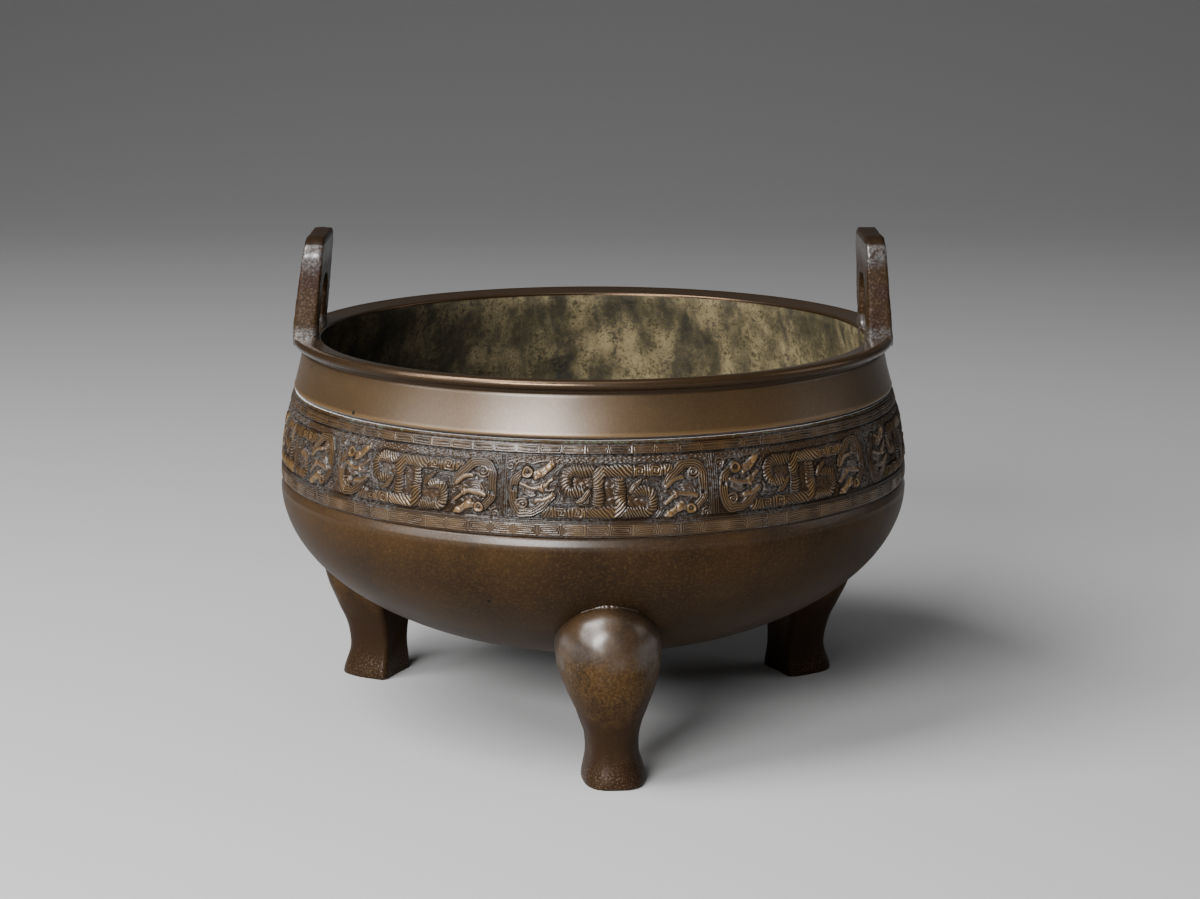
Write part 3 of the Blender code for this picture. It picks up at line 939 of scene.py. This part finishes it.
def carve_ground(carving):
    """Fine threads that echo the figures, upright threads between panels and a clouded strip on top."""
    carving.face(1)
    u, v = carving.straight_u, carving.straight_v
    bare = 1 - carving.covered
    edge = np.abs(u) - carving.width / 2
    between = step(edge + 1.5, 0.4)
    flare = edge * (1 - 0.18 * np.clip((np.abs(v) - 3.5) / 4, 0, 1))
    clouded = step(v - 6.5, 0.4) * step(-edge - 1.2, 0.4)
    ground = 0.26 + 0.24 * step(carving.clear - 0.45, 0.5)
    ground += (0.52 - ground) * between
    cloud = ridges(u / 1.15 + 0.6 * np.sin(2.3 * v + 0.6 * u)) * ridges(v / 0.7 - 0.35 * np.sin(2.6 * u))
    ground += (0.34 + 0.35 * cloud - ground) * clouded
    carving.height += (ground - carving.height) * bare
    echo = np.where(between > 0.5, flare / carving.thread, (carving.clear - 0.3) / carving.thread)
    carving.phase = np.where(bare > 0.5, echo, carving.phase)
    carving.cut += ((0.95 - 0.6 * clouded) - carving.cut) * bare


def carve_borders(carving, units):
    """The meander borders and the plain lines above and below the field."""
    u, v = carving.straight_u, carving.straight_v
    unit = carving.width / units
    place = np.mod(u, unit) - unit / 2
    worn = 0.7 + 0.3 * np.sin(TURN * 2 * u / carving.width + 0.6) * np.sin(TURN * 5 * u / carving.width)
    for low, high, base in ((-10.20, -7.50, 0.64), (8.55, 10.55, 0.60)):
        middle = (low + high) / 2
        half = (high - low) / 2
        lengthwise = place * np.where(np.mod(u, 2 * unit) < unit, 1, -1)
        reach = np.maximum(np.abs(v - middle), np.abs(lengthwise) - (unit / 2 - half))
        winding = np.arctan2(v - middle, lengthwise) / TURN
        mask = step(half - np.abs(v - middle), 0.2)
        carving.lay(mask, base + 0.12, None, (reach - half + 0.1) / 0.5 - 0.5 * winding, worn)
    for middle, half, top, cut in (
        (-7.02, 0.45, 0.62, 0.9), (8.20, 0.26, 0.0, 0.0), (10.72, 0.20, 0.25, 0.0),
        (11.16, 0.26, 0.62, 0.0), (-10.45, 0.20, 0.30, 0.0), (-6.3, 0.2, 0.05, 0.0),
    ):
        shape = top - 0.12 * ((v - middle) / half) ** 2
        carving.lay(step(half - np.abs(v - middle), 0.14), shape, None, (v - middle) / 0.44 + 0.5, cut)


def soften(field, passes):
    """Blur a panel's field a little. It wraps round sideways, because the panels join up."""
    ring = field[:, :-1]
    for _ in range(passes):
        ring = (np.roll(ring, 1, axis=1) + 2 * ring + np.roll(ring, -1, axis=1)) / 4
        ring = np.vstack([ring[:1], ring, ring[-1:]])
        ring = (ring[:-2] + 2 * ring[1:-1] + ring[2:]) / 4
    return np.hstack([ring, ring[:, :1]])


def panel_mesh(bowl, frieze):
    """One panel of the frieze as an open sheet, its middle at the front."""
    pitch = TURN / frieze.panels
    skin_radius = frieze_radius(bowl, bowl.shoulder_height)
    width = pitch * skin_radius / MM
    foot, top = frieze_span(bowl)
    low = (foot + 0.3 * MM - frieze.middle) / MM
    high = (top - frieze.middle) / MM
    carving = Carving(frieze, width, low, high)
    carve_dragon_bodies(carving)
    for turn, lift in ((1, 0.0), (-1, 1.0)):
        carving.face(turn)
        carve_dragon_head(carving, lift)
    carve_ground(carving)
    carve_borders(carving, frieze.border_units)
    worn_from, left_over, line_depth, blur = 0.96, 0.15, 0.24, 14
    height = np.minimum(carving.height, worn_from + left_over * (carving.height - worn_from))
    height = height - line_depth * carving.cut * (1 - ridges(carving.phase))
    cavity = height - soften(height, blur)
    angle = carving.straight_u * MM / skin_radius
    level = frieze.middle + carving.straight_v * MM
    radius = frieze_radius(bowl, level) - frieze.depth * (1 - height)
    points = around(angle, radius, level).reshape(-1, 3)
    rows, columns = angle.shape
    index = np.arange(rows * columns).reshape(rows, columns)
    faces = np.stack([index[:-1, :-1], index[:-1, 1:], index[1:, 1:], index[1:, :-1]], axis=-1)
    mesh = bpy.data.meshes.new("panel")
    mesh.from_pydata(points.tolist(), [], faces.reshape(-1, 4).tolist())
    store(mesh, "relief", height)
    store(mesh, "cavity", cavity)
    store(mesh, "phase", carving.phase)
    store(mesh, "cut", carving.cut)
    return mesh


def close_back(mesh, bowl, frieze, copies):
    """Give a sheet of panels its sides and its back, so that it is a closed piece."""
    points = mesh_points(mesh)
    azimuth = np.arctan2(points[:, 0], -points[:, 1])
    middle = np.arctan2(points[:, 0].mean(), -points[:, 1].mean())
    azimuth = np.mod(azimuth - middle + math.pi, TURN) - math.pi
    level = points[:, 2]
    half = TURN / frieze.panels * copies / 2
    near = 0.02 * MM
    low = np.flatnonzero(level < level.min() + near)
    high = np.flatnonzero(level > level.max() - near)
    start = np.flatnonzero(azimuth < -half + near / bowl.belly_radius)
    end = np.flatnonzero(azimuth > half - near / bowl.belly_radius)
    low = low[np.argsort(azimuth[low])]
    high = high[np.argsort(azimuth[high])]
    start = start[np.argsort(level[start])]
    end = end[np.argsort(level[end])]
    bm = bmesh.new()
    bm.from_mesh(mesh)
    bm.verts.ensure_lookup_table()

    def behind(index):
        place = points[index]
        radius = math.hypot(place[0], place[1])
        inner = frieze_radius(bowl, place[2]) - frieze.thickness
        return bm.verts.new((place[0] * inner / radius, place[1] * inner / radius, place[2]))

    low_back = [behind(index) for index in low]
    high_back = [behind(index) for index in high]
    bm.verts.ensure_lookup_table()
    sharp = []
    for front, back in ((low, low_back), (high, high_back)):
        for here in range(len(front) - 1):
            first, second = bm.verts[front[here]], bm.verts[front[here + 1]]
            bm.faces.new((first, second, back[here + 1], back[here]))
            sharp.append((first, second))
    for here in range(len(low_back) - 1):
        bm.faces.new((low_back[here], low_back[here + 1], high_back[here + 1], high_back[here]))
    for column, place in ((start, 0), (end, -1)):
        side = [bm.verts[index] for index in column]
        bm.faces.new(side + [high_back[place], low_back[place]])
        sharp += list(zip(side, side[1:]))
    for pair in sharp:
        bm.edges.get(pair).smooth = False
    bmesh.ops.recalc_face_normals(bm, faces=bm.faces)
    bm.to_mesh(mesh)
    bm.free()


def handle_rings(bowl, handles, inset, lean):
    """Sections along a handle's arch, from one foot over the top to the other, for the side at +X."""
    _, _, neck_radius, neck_top = neck_ends(bowl)
    lip_radius = neck_radius + bowl.lip_overhang
    lip_top = neck_top + bowl.lip_height
    foot = lip_top - bowl.lip_slope - handles.sink
    up_steps, across_steps, corner_steps = 22, 10, 14

    def arch(half_width, top, corner):
        rise = [foot + (top - corner - foot) * run / up_steps for run in range(up_steps)]
        points = [(-half_width, height) for height in rise]
        for side, start in ((-1, math.pi), (1, math.pi / 2)):
            for run in range(corner_steps + 1):
                angle = start - math.pi / 2 * run / corner_steps
                points.append((
                    side * (half_width - corner) + corner * math.cos(angle),
                    top - corner + corner * math.sin(angle),
                ))
            if side < 0:
                flat = half_width - corner
                points += [(-flat + 2 * flat * run / across_steps, top) for run in range(1, across_steps)]
        return points + [(half_width, height) for height in reversed(rise)]

    outer = arch(handles.width / 2, lip_top + handles.rise, handles.corner)
    inner = arch(handles.opening_width / 2, lip_top + handles.opening_rise, handles.opening_corner)
    rings = []
    for (outer_y, outer_z), (inner_y, inner_z) in zip(outer, inner):
        breadth = math.hypot(outer_y - inner_y, outer_z - inner_z)
        ring = []
        for run, through in rounded_box(breadth, handles.foot_thickness, handles.edge):
            share = run / breadth
            y = inner_y + (outer_y - inner_y) * share
            z = inner_z + (outer_z - inner_z) * share
            rise = (z - lip_top) / handles.rise
            thickness = handles.foot_thickness + (handles.top_thickness - handles.foot_thickness) * rise
            bulge = handles.collar * math.exp(-max(z - lip_top, 0.0) / (0.7 * MM))
            middle = lip_radius - inset - handles.foot_thickness / 2 - lean * rise
            x = middle + (thickness + 2 * bulge) * (through / handles.foot_thickness - 0.5)
            y += math.copysign(bulge, y) * (2 * share - 1)
            x = min(x, math.sqrt(lip_radius ** 2 - y ** 2) - 0.1 * MM)
            ring.append((x, y, z))
        rings.append(ring)
    return rings


def rounded_box(breadth, thick, edge, turns=4, along=9, through=5):
    """Points round a rectangle with rounded corners, from (0, 0) to (breadth, thick)."""
    corners = (
        (breadth - edge, edge, -90), (breadth - edge, thick - edge, 0),
        (edge, thick - edge, 90), (edge, edge, 180),
    )
    arcs = []
    for across, up, start in corners:
        angles = [math.radians(start + 90 * turn / turns) for turn in range(turns + 1)]
        arcs.append([(across + edge * math.cos(angle), up + edge * math.sin(angle)) for angle in angles])
    points = []
    for place, arc in enumerate(arcs):
        after = arcs[(place + 1) % 4][0]
        steps = through if place % 2 == 0 else along
        points += arc
        for step in range(1, steps):
            share = step / steps
            points.append(tuple(a + (b - a) * share for a, b in zip(arc[-1], after)))
    return points


class DING_OT_bowl(bpy.types.Operator):
    """Turn the bowl, with its neck and lip."""
    bl_idname = "ding.bowl"
    bl_label = "Bowl"

    def execute(self, context):
        bowl = sizes("bowl")
        outline = bowl_outline(bowl)
        angles = np.arange(bowl.sides) * TURN / bowl.sides
        rings = around(angles[None, :], outline[:, 0, None], outline[:, 1, None])
        rings = set_off_true(bowl, rings)
        mesh = skin("bowl", [rings], poles=True)
        inside = np.append(np.repeat(outline[:, 2] == 2, bowl.sides), [False, True])
        lip = np.append(np.repeat(outline[:, 2] == 1, bowl.sides), [False, False])
        points = mesh_points(mesh)
        pitted = roughen(points, 9 * MM, 0.09 * MM, 3) + roughen(points, 2.6 * MM, 0.05 * MM, 4)
        points += mesh_normals(mesh) * (pitted * inside)[:, None]
        move_points(mesh, points)
        store(mesh, "inside", inside)
        store(mesh, "lip", lip)
        show(mesh, "bowl", bowl_bronze())
        return {"FINISHED"}


class DING_OT_frieze(bpy.types.Operator):
    """Carve one dragon panel and repeat it round the bowl."""
    bl_idname = "ding.frieze"
    bl_label = "Frieze"

    def execute(self, context):
        bowl, frieze = sizes("bowl"), sizes("frieze")
        if frieze.panels % frieze.panels_each:
            raise RuntimeError("the panels don't divide into whole pieces")
        panel = panel_mesh(bowl, frieze)
        material = frieze_bronze()
        pitch = TURN / frieze.panels
        for piece in range(frieze.panels // frieze.panels_each):
            name = "frieze_%d" % (piece + 1)
            start = frieze.turn + pitch * frieze.panels_each * piece
            mesh = ring_of(panel, name, material, frieze.panels_each, pitch, start)
            move_points(mesh, set_off_true(bowl, mesh_points(mesh)))
            close_back(mesh, bowl, frieze, frieze.panels_each)
            mesh.shade_smooth()
            show(mesh, name)
        bpy.data.meshes.remove(panel)
        return {"FINISHED"}


class DING_OT_handles(bpy.types.Operator):
    """Model the upright handles on the lip."""
    bl_idname = "ding.handles"
    bl_label = "Handles"

    def execute(self, context):
        bowl, handles = sizes("bowl"), sizes("handles")
        material = handle_bronze()
        sides = (
            ("handle_right", 0.0, handles.right_inset, handles.right_lean),
            ("handle_left", math.pi, handles.left_inset, handles.left_lean),
        )
        for seed, (name, start, inset, lean) in enumerate(sides):
            mesh = skin("handle", [handle_rings(bowl, handles, inset, lean)])
            made = ring_of(mesh, name, material, 1, 0.0, start)
            pebble(made, 2.0 * MM, handles.pebbling, 11 + seed)
            pebble(made, 9.0 * MM, handles.pebbling, 21 + seed)
            show(made, name)
        return {"FINISHED"}


class DING_OT_legs(bpy.types.Operator):
    """Model the three legs and the raised line round each knee."""
    bl_idname = "ding.legs"
    bl_label = "Legs"

    def execute(self, context):
        bowl, legs = sizes("bowl"), sizes("legs")
        material = leg_bronze()
        insets = (("front", legs.inset), ("right", legs.right_inset), ("left", legs.left_inset))
        for seed, (name, inset) in enumerate(insets):
            mesh = leg_mesh(bowl, legs, inset)
            made = ring_of(mesh, "leg_" + name, material, 1, 0.0, getattr(legs, name))
            pebble(made, 7 * MM, 0.05 * MM, 31 + seed)
            show(made, "leg_" + name)
        return {"FINISHED"}


def leg_section(bowl, legs, inset, height):
    """Width, inner radius and outer radius of a leg at a height."""
    inner = bowl.belly_radius - inset
    if height <= legs.ankle_height:
        share = ease(height / legs.ankle_height)
        width = legs.foot_width + (legs.ankle_width - legs.foot_width) * share
        depth = legs.foot_depth + (legs.ankle_depth - legs.foot_depth) * share
        return width, inner, inner + depth
    if height <= legs.knee_height:
        share = ease((height - legs.ankle_height) / (legs.knee_height - legs.ankle_height))
        width = legs.ankle_width + (legs.knee_width - legs.ankle_width) * share
        depth = legs.ankle_depth + (legs.knee_depth - legs.ankle_depth) * share
        return width, inner, inner + depth
    rise = (height - legs.knee_height) / legs.knee_rise
    shrink = math.sqrt(max(0.0, 1.0 - rise * rise))
    top_radius = belly_radius(bowl, legs.knee_height + legs.knee_rise, bowl.wall / 4)
    outer = top_radius + (inner + legs.knee_depth - top_radius) * shrink
    return legs.knee_width * shrink, max(inner, belly_radius(bowl, height, bowl.wall / 2)), outer


def leg_mesh(bowl, legs, inset):
    """A leg at the front, its flat back towards the axis and its top buried in the belly's wall."""
    shin = legs.knee_height - legs.ankle_height
    worn_height, worn_depth = 0.4 * MM, 0.35 * MM
    foot_steps, shin_steps, knee_steps, front_steps, back_steps = 12, 40, 31, 64, 10
    heights = [0.0, 0.12 * MM, worn_height]
    heights += [
        worn_height + (legs.ankle_height - worn_height) * run / foot_steps for run in range(1, foot_steps)
    ]
    heights += [legs.ankle_height + shin * run / shin_steps for run in range(shin_steps)]
    # The last ring stops just short of the knee's very top, where the section would shrink to nothing.
    heights += [
        legs.knee_height + legs.knee_rise * math.sin(math.pi / 2 * run / 30.6) for run in range(knee_steps)
    ]
    rings = []
    for height in heights:
        width, inner, outer = leg_section(bowl, legs, inset, height)
        worn = worn_depth * max(0.0, 1.0 - height / worn_height) ** 2
        width -= 2 * worn
        outer -= worn
        fall = max(0.0, 1.0 - height / legs.knee_height)
        sway = legs.sway * fall
        power = 2 / (legs.roundness + (legs.foot_roundness - legs.roundness) * fall)
        corner = max(0.0, min(legs.corner, (outer - inner) / 3, width / 6))
        flat = width / 2 - corner
        back = inner + corner
        ring = []
        for side in range(front_steps + 1):
            angle = math.pi * (side / front_steps - 0.5)
            across = math.copysign(abs(math.sin(angle)) ** power, angle)
            reach = abs(math.cos(angle)) ** power
            ring.append((sway + width / 2 * across, -(back + (outer - back) * reach), height))
        turns = [turn * TURN / 20 for turn in range(1, 6)]
        arc = [(corner * math.cos(turn), corner * math.sin(turn)) for turn in turns]
        ring += [(sway + flat + out, -(back - down), height) for out, down in arc]
        for side in range(1, back_steps):
            across = 1 - 2 * side / back_steps
            hollow = legs.hollow * (1 - across * across)
            ring.append((sway + flat * across, -(inner + hollow), height))
        ring += [(sway - flat - out, -(back - down), height) for out, down in reversed(arc)]
        rings.append(ring)
    seam = []
    for side in range(2, front_steps - 1):
        for height, ring in zip(heights, rings):
            x, y, _ = ring[side]
            if height > legs.ankle_height and math.hypot(x, y) < belly_radius(bowl, height):
                seam.append((x, y, height))
                break
    return skin("leg", [rings, tube(seam, legs.rim)])


def bowl_bronze():
    """Brown bronze outside, a reddish lip, and a crusted, mottled inside."""
    tones = sizes("colours")
    paint = Paint("bowl bronze")
    inside = paint.attribute("inside")
    lip = paint.attribute("lip")
    cloud = paint.noise(24 * MM, 4.0, 0.6)
    speckle = paint.noise(*SPECKLE)
    fine = paint.noise(0.3 * MM, 2.0, 0.6, 0.0, (1, 1, 0.5))
    outside = paint.mix(cloud.above(0.36, 0.68) * 0.8, tones.brown, tones.umber_and_shade)
    # Painted shade: the belly is painted darker umber towards the bottom.
    outside = paint.mix(paint.level(62, 48) * 0.5, outside, tones.umber_and_shade)
    outside = paint.mix(speckle.above(0.45, 0.80) * 0.26, outside, tones.golden)
    outside = paint.mix(fine.above(0.52, 0.72) * 0.55, outside, tones.umber_and_shade)
    golden_edge = paint.level(86.3, 85.6) * paint.level(84.9, 85.3)
    neck = paint.level(84.8, 85.6)
    outside = paint.mix((golden_edge * 0.5 + neck * 0.32) * (1 - lip), outside, tones.golden)
    outside = paint.mix(lip * 0.55, outside, tones.plum)
    outside = paint.mix(lip * 0.38, outside, tones.golden)
    # Painted shade: the lip's lower half and the undercut below it are painted dark umber, and get less
    # coat.
    under = paint.level(97.3, 96.8) * paint.level(94.2, 94.8)
    outside = paint.mix(under * 0.75, outside, tones.umber_and_shade)
    pits = paint.grains(7 * MM).above(0.10, 0.05) * paint.noise(14 * MM).above(0.5, 0.6) * (1 - lip)
    outside = paint.mix(pits, outside, tones.soot_and_shade)
    patches = paint.noise(13 * MM, 5.0, 0.65, 0.4, (1, 1, 0.8), 3.0)
    dots = paint.noise(1.2 * MM, 5.0, 0.8)
    streaks = paint.noise(7 * MM, 3.0, 0.6, 0.0, (1, 1, 0.35), 7.0)
    lining = paint.mix((patches * 0.6 + dots * 0.7).above(0.56, 0.78), tones.moss, tones.ash)
    lining = paint.mix((dots * 0.8 + streaks * 0.5).above(0.62, 0.74) * 0.8, lining, tones.char)
    # The inside is painted darker, blue-black, towards -X.
    lining = paint.mix(paint.across.above(10 * MM, -70 * MM) * 0.7, lining, tones.char)
    colour = paint.mix(inside, outside, lining)
    roughness = 0.34 + 0.14 * speckle + inside * 0.34 - lip * 0.22
    metallic = 0.12 + 0.05 * paint.level(58, 61) + neck * 0.29 + lip * 0.3
    grain = paint.noise(0.45 * MM, 3.0, 0.7, 0.0, (1, 1, 0.18), 11.0)
    polish = (0.35 + 0.4 * speckle + 0.4 * cloud + 0.5 * grain) * (0.7 + 0.3 * neck) * (1 - 0.5 * lip)
    wax = (0.01 + 0.72 * paint.level(58.5, 60.8) * polish) * (1 - inside) * (1 - 0.8 * under)
    uneven = dots * inside * 4 + speckle * 0.4 + fine * 0.3 + grain * neck * 0.7 - pits * 2
    normal = paint.bump(uneven, 0.5, 0.06 * MM)
    return paint.finish(colour, roughness, metallic * (1 - inside), normal, wax, 0.34)


def frieze_bronze():
    """Bronze worn golden on the relief, with grey bloom in its cavities, and soot-dark dirt with painted
    shade in its cavities and grooves.
    """
    tones = sizes("colours")
    paint = Paint("frieze bronze")
    relief = paint.attribute("relief")
    cavity = paint.attribute("cavity")
    cut = paint.attribute("cut")
    cloud = paint.noise(16 * MM, 3.0, 0.55)
    speckle = paint.noise(*SPECKLE)
    waver = paint.noise(1.6 * MM, 2.0, 0.5)
    line = ((paint.attribute("phase") + 0.35 * waver) * TURN).cosine() * 0.5 + 0.5
    groove = (1 - line) * cut
    raised = relief + 0.2 * groove
    colour = paint.mix(raised.above(-0.10, 0.30), tones.umber_and_shade, tones.brown)
    colour = paint.mix(raised.above(0.60, 0.95) * cloud.above(0.26, 0.50), colour, tones.golden)
    # The fine lines' grooves are painted soot-dark: dirt in them, and painted shade.
    colour = paint.mix(groove * 0.9, colour, tones.soot_and_shade)
    bloom = cloud.above(0.62, 0.42) * speckle.above(0.40, 0.62) * raised.above(0.85, 0.5)
    # Painted shade in the cavities, soot-dark, together with dirt.
    colour = paint.mix(cavity.above(-0.04, -0.28) * 0.6, colour, tones.soot_and_shade)
    colour = paint.mix(bloom * 0.8, colour, tones.bloom)
    top_line = paint.level(83.5, 83.8) * paint.noise(6 * MM).above(0.45, 0.6)
    green = paint.noise(0.9 * MM, 2.0, 0.6).above(0.52, 0.62)
    colour = paint.mix(top_line * green * 0.7, colour, tones.verdigris)
    roughness = 0.30 + 0.16 * speckle + groove * 0.2
    normal = paint.bump(line * cut, 0.8, 0.16 * MM)
    normal = paint.bump(speckle, 0.35, 0.05 * MM, normal)
    wax = (0.22 + 0.4 * raised.above(0.35, 0.80)) * (1 - 0.8 * groove)
    wax = wax * paint.level(83.9, 83.4)
    return paint.finish(colour, roughness, 0.25, normal, wax, 0.26)


def handle_bronze():
    """Reddish pebbled bronze, smooth and dark over the crown, pale where the foot is worn, with a painted
    highlight just under the crown.
    """
    tones = sizes("colours")
    paint = Paint("handle bronze")
    cloud = paint.noise(9 * MM, 4.0, 0.6)
    pebbles = paint.grains(0.75 * MM)
    speckle = paint.noise(*SPECKLE)
    crown = paint.level(121.2, 121.7)
    colour = paint.mix(cloud.above(0.40, 0.65), tones.brown, tones.plum)
    colour = paint.mix(speckle.above(0.50, 0.80) * 0.22 * (1 - crown), colour, tones.golden)
    colour = paint.mix(pebbles.above(0.35, 0.60) * 0.5, colour, tones.umber_and_shade)
    colour = paint.mix(crown * 0.7, colour, tones.umber_and_shade)
    foot = paint.level(101.6, 99.8) * speckle.above(0.35, 0.6)
    colour = paint.mix(foot * 0.7, colour, tones.bloom)
    # Painted highlight: a whitish, ragged patch just under the crown, which also gets more coat.
    ragged = paint.height + (cloud - 0.5) * 8 * MM
    painted_highlight_patch = ragged.above(114.5 * MM, 119.0 * MM) * (1 - crown)
    colour = paint.mix(painted_highlight_patch * speckle.above(0.35, 0.60) * 0.8, colour, tones.bloom)
    sparkle = speckle.above(0.50, 0.62) * pebbles.above(0.50, 0.25)
    roughness = 0.36 + 0.16 * speckle
    normal = paint.bump(pebbles * (1 - crown), 0.9, 0.18 * MM)
    normal = paint.bump(speckle, 0.4, 0.05 * MM, normal)
    wax = (0.25 + 0.7 * sparkle + 0.4 * painted_highlight_patch + 0.4 * foot) * (1 - crown) + 0.22 * crown
    return paint.finish(colour, roughness, 0.25, normal, wax, 0.28)


def leg_bronze():
    """Brown bronze with golden speckle and a worn foot, whose golden specks are also painted glints."""
    tones = sizes("colours")
    paint = Paint("leg bronze")
    cloud = paint.noise(10 * MM, 4.0, 0.6)
    speckle = paint.noise(*SPECKLE)
    colour = paint.mix(cloud.above(0.42, 0.66) * 0.8, tones.brown, tones.umber_and_shade)
    colour = paint.mix(speckle.above(0.48, 0.72) * 0.2, colour, tones.golden)
    ragged = paint.height + (paint.noise(8 * MM, 4.0, 0.65) - 0.5) * 22 * MM
    shin = ragged.above(25 * MM, 15 * MM)
    colour = paint.mix(shin * 0.7, colour, tones.umber_and_shade)
    colour = paint.mix(shin * cloud.above(0.40, 0.60) * 0.5, colour, tones.plum)
    rubbed = ragged.above(36 * MM, 27 * MM) * (1 - shin) * paint.deep.above(-20 * MM, -55 * MM)
    colour = paint.mix(rubbed * speckle.above(0.40, 0.58) * 0.22, colour, tones.golden)
    # Golden specks at the foot: wear, and painted glints.
    foot = ragged.above(10 * MM, 1 * MM) * paint.noise(0.4 * MM, 2.0, 0.6).above(0.50, 0.66)
    colour = paint.mix(foot * 0.25, colour, tones.golden)
    roughness = 0.36 + 0.12 * speckle
    normal = paint.bump(speckle, 0.45, 0.05 * MM)
    wax = 0.02 + 0.9 * ragged.above(27 * MM, 39 * MM) * (0.7 + 0.6 * speckle) + 0.35 * foot
    return paint.finish(colour, roughness, 0.15, normal, wax, 0.34)


def softbox(name, power, azimuth, elevation, distance, width, height):
    """A soft area light that looks at the vessel from this azimuth and elevation, in degrees."""
    light = bpy.data.lights.new(name, "AREA")
    light.shape = "RECTANGLE"
    light.size = width
    light.size_y = height
    light.energy = power
    lamp = bpy.data.objects.new(name, light)
    bpy.context.scene.collection.objects.link(lamp)
    flat = distance * math.cos(math.radians(elevation))
    place = Vector(around(math.radians(azimuth), flat, distance * math.sin(math.radians(elevation))))
    lamp.location = LIGHT_AIM + place
    lamp.rotation_mode = "QUATERNION"
    lamp.rotation_quaternion = (-place).to_track_quat("-Z", "Y")


class DING_OT_stage(bpy.types.Operator):
    """Set up the floor, the soft lights and the camera."""
    bl_idname = "ding.stage"
    bl_label = "Stage"

    def execute(self, context):
        stage = sizes("stage")
        bend, depth, wide, near, tall, steps = 2.0, 1.0, 6.0, 2.5, 3.5, 24
        angles = [run * math.pi / 2 / steps for run in range(steps + 1)]
        curve = [(depth + bend * math.sin(angle), bend - bend * math.cos(angle)) for angle in angles]
        path = [(-near, 0.0), *curve, (depth + bend, tall)]
        points = [(side * wide / 2, y, z) for y, z in path for side in (-1, 1)]
        faces = [(2 * run, 2 * run + 1, 2 * run + 3, 2 * run + 2) for run in range(len(path) - 1)]
        mesh = bpy.data.meshes.new("floor")
        mesh.from_pydata(points, [], faces)
        mesh.shade_smooth()
        paint = Paint("floor")
        mesh.materials.append(paint.finish(stage.floor, 0.8))
        floor = bpy.data.objects.new("floor", mesh)
        context.scene.collection.objects.link(floor)

        for name, place in SOFTBOXES.items():
            softbox(name, getattr(stage, name), *place)

        world = bpy.data.worlds.new("studio")
        world.use_nodes = True
        background = world.node_tree.nodes["Background"].inputs
        background["Color"].default_value = WORLD_COLOUR
        background["Strength"].default_value = 1.0
        context.scene.world = world

        data = bpy.data.cameras.new("camera")
        data.sensor_width = SENSOR_WIDTH
        data.lens = stage.lens
        data.shift_x = stage.shift
        camera = bpy.data.objects.new("camera", data)
        camera.location = (0.0, -stage.distance, stage.height)
        camera.rotation_euler = (math.pi / 2 - stage.pitch, 0.0, 0.0)
        context.scene.collection.objects.link(camera)
        context.scene.camera = camera
        return {"FINISHED"}


class DING_PT_tools(bpy.types.Panel):
    """The vessel's pieces and sizes in the 3D view's sidebar."""
    bl_label = "Bronze ding"
    bl_idname = "DING_PT_tools"
    bl_space_type = "VIEW_3D"
    bl_region_type = "UI"
    bl_category = "Ding"

    def draw(self, context):
        for name, group in GROUPS.items():
            box = self.layout.box()
            if name in OPERATORS:
                box.operator("ding." + name)
            for size in group.__annotations__:
                box.prop(sizes(name), size)


OPERATORS = {
    "bowl": DING_OT_bowl,
    "frieze": DING_OT_frieze,
    "handles": DING_OT_handles,
    "legs": DING_OT_legs,
    "stage": DING_OT_stage,
}
CLASSES = (*GROUPS.values(), *OPERATORS.values(), DING_PT_tools)


def register():
    """Register the classes and hang the sizes on the scene."""
    for item in CLASSES:
        bpy.utils.register_class(item)
    for name, group in GROUPS.items():
        setattr(bpy.types.Scene, "ding_" + name, bpy.props.PointerProperty(type=group))


def unregister():
    """Undo what register did."""
    for name in GROUPS:
        delattr(bpy.types.Scene, "ding_" + name)
    for item in reversed(CLASSES):
        bpy.utils.unregister_class(item)


def main():
    """Build every piece and the stage."""
    register()
    for name in OPERATORS:
        getattr(bpy.ops.ding, name)()


if __name__ == "__main__":
    main()
